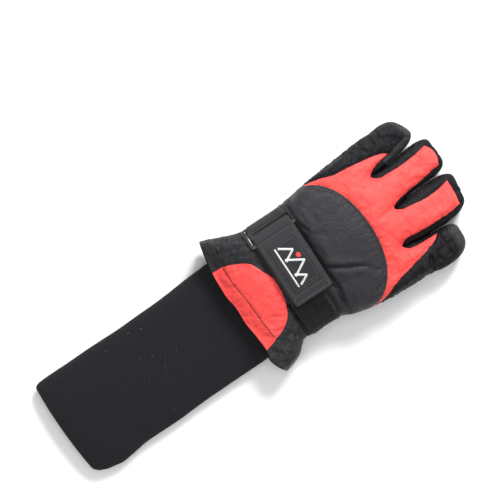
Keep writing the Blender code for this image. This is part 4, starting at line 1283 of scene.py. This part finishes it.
def make_fibres(shell):
    """Lint caught on the knit, and the nap that stands up from the loop pad."""
    draw = random.Random(11)
    lint = []
    for _ in range(15):
        x, y = draw.gauss(-8, 20), draw.gauss(-108, 22)
        if -38 < x < 48 and -195 < y < -30:
            lint.append((np.array([x, y, 17.2]), np.array([0, 0, 1.0])))
    fibres("knit_lint", lint, (1.2, 3.2), 0.08, LINT, 12)
    nap = []
    plan, n = shell["plan"], len(shell["plan"])
    x, y = plan.T
    zone = np.nonzero((x > LOOP_LEFT_X + 6) & (y > LOOP_LOW_Y + 1) & (y < LOOP_HIGH_Y - 1))[0]
    for _ in range(900):
        i = zone[draw.randrange(len(zone))]
        k = i if shell["d"][i] > 1 or draw.random() < 0.5 else i + n
        nap.append((shell["verts"][k], shell["normal"][k]))
    fibres("loop_pad_nap", nap, (0.9, 2.0), 0.09, LOOP, 13)


# --- the thumb, tucked under the palm ---
THUMB_OUTLINE = [(-36, 46), (-26.5, 50), (-21.5, 60), (-20.5, 76), (-21, 96), (-22.5, 112), (-27, 122.5),
                 (-35, 126.8), (-43.5, 124.5), (-49, 116), (-51.3, 100), (-51.8, 82), (-51, 64),
                 (-47, 51.5), (-36, 46)]
THUMB_THICK, THUMB_EDGE, THUMB_POWER = 13.6, 8.5, 2.3
THUMB_ROOT = (-36, 62)
ROOT_STATIONS = ((10.2, 10.5), (10.0, 12.5), (9.9, 14.0), (10.4, 15.6), (11.2, 17.5))


def make_thumb():
    """The thumb's two panels, its seam, and the root that goes up into the palm."""
    outline = curve(THUMB_OUTLINE, 1.3)[:-1]
    plan, faces = triangulated(outline, [], 1.7, (0.25, 0.8, 1.7, 3.0))
    d, spot = nearest(plan, closed(outline))
    puff = (1 - (1 - np.clip(d / THUMB_EDGE, 0, 1)) ** THUMB_POWER) ** (1 / THUMB_POWER)
    half = THUMB_THICK / 2
    middle_z = half + FLOOR_GAP
    folds = 0.5 * fold_noise(np.column_stack([plan, plan[:, 0]]), (0.06, 0.06, 0), 12)
    for middle in (72, 88, 103):
        folds -= 0.55 * bell(plan[:, 1] - middle - 1.5 * np.sin(plan[:, 0] * 0.25), 1.7)
    folds *= smooth(0.5, 4, d)
    up = np.column_stack([plan, middle_z + (half - 0.6) * puff + folds * 0.3])
    low = np.column_stack([plan, np.maximum(middle_z - (half - 0.1) * puff - folds, FLOOR_GAP)])
    verts = np.vstack([up, low])
    skin = two_sided(faces, d)
    normal = vertex_normals(verts, skin)
    outward = -(plan - spot) / np.maximum(d, 1e-6)[:, None]
    uv = np.vstack([plan + outward * (1 - puff)[:, None] * half * 0.7] * 2)
    for name, part, material, slot, nodes in (
            ("thumb_leather", skin[:len(faces)], LEATHER, "leather", ["thumb_palm_panel", "thumb_liner"]),
            ("thumb_wipe_cloth", skin[len(faces):], SMOOTH_GREY, "smooth_grey", ["thumb_wipe_panel"])):
        place(part_of(name, part, verts, uv, normal, material), "thumb", nodes=nodes)
    rim = np.column_stack([outline, np.full(len(outline), middle_z)])
    place(tube("thumb_seam", rim, 0.55, DARK_THREAD, 8, joined=True), "thumb")
    sides = 48
    angles = np.linspace(0, 2 * math.pi, sides, endpoint=False)
    root_x, root_y = THUMB_ROOT
    rings = [np.column_stack([root_x + r * np.cos(angles), root_y + r * np.sin(angles), np.full(sides, z)])
             for r, z in ROOT_STATIONS]
    uv = np.column_stack([np.tile(angles * 10, len(rings)), np.repeat(np.arange(len(rings)) * 2.0, sides)])
    root = make_object("thumb_root", np.vstack(rings), ring_faces(len(rings), sides), BLACK, uv)
    place(root, "thumb")


# --- stage, light and camera ---
FLOOR_HALF, FLOOR_Z = 9000, -0.1
WORLD_STRENGTH = 0.4
# Each light is its name, its place in metres, the side of its square in metres and its power in watts.
LIGHTS = (("key", (-0.8, 1.15, 1.15), 0.7, 48.0), ("fill", (1.2, -0.7, 1.2), 1.4, 7.0),
          ("top", (0, 0, 2.2), 1.4, 14.0))
CAMERA_SPOT = (-36.2, 17.9, 3645)
CAMERA_LENS, CAMERA_TURN = 300, 56.5


def make_stage():
    """A pale floor, an even white world and three soft lights that point at the glove."""
    corners = [(x * FLOOR_HALF, y * FLOOR_HALF, FLOOR_Z) for x, y in ((-1, -1), (1, -1), (1, 1), (-1, 1))]
    floor = make_object("floor", corners, [(0, 1, 2, 3)], floor_paint(), smooth_faces=False)
    world = bpy.data.worlds.new("studio")
    bpy.context.scene.world = world
    world.use_nodes = True
    world.node_tree.nodes["Background"].inputs["Color"].default_value = (1, 1, 1, 1)
    world.node_tree.nodes["Background"].inputs["Strength"].default_value = WORLD_STRENGTH
    for name, spot, size, power in LIGHTS:
        data = bpy.data.lights.new(name, "AREA")
        data.size, data.energy = size, power
        light = bpy.data.objects.new(name, data)
        light.location = spot
        light.rotation_euler = (-Vector(spot)).to_track_quat("-Z", "Y").to_euler()
        bpy.context.scene.collection.objects.link(light)


def make_camera():
    """Straight above, far away with a long lens, and turned so that the fingers point up and to the right."""
    data = bpy.data.cameras.new("camera")
    data.lens, data.sensor_width = CAMERA_LENS, 36
    camera = bpy.data.objects.new("camera", data)
    camera.location = Vector(CAMERA_SPOT) * MM
    camera.rotation_euler = (0, 0, math.radians(CAMERA_TURN))
    bpy.context.scene.collection.objects.link(camera)
    bpy.context.scene.camera = camera
    bpy.context.scene.view_settings.view_transform = "Standard"


make_camera()
make_stage()
skin_shell = build_shell()
make_skin(skin_shell)
make_trim(skin_shell)
make_closure()
make_gauntlet_inside(skin_shell)
make_cuff()
make_fibres(skin_shell)
make_thumb()
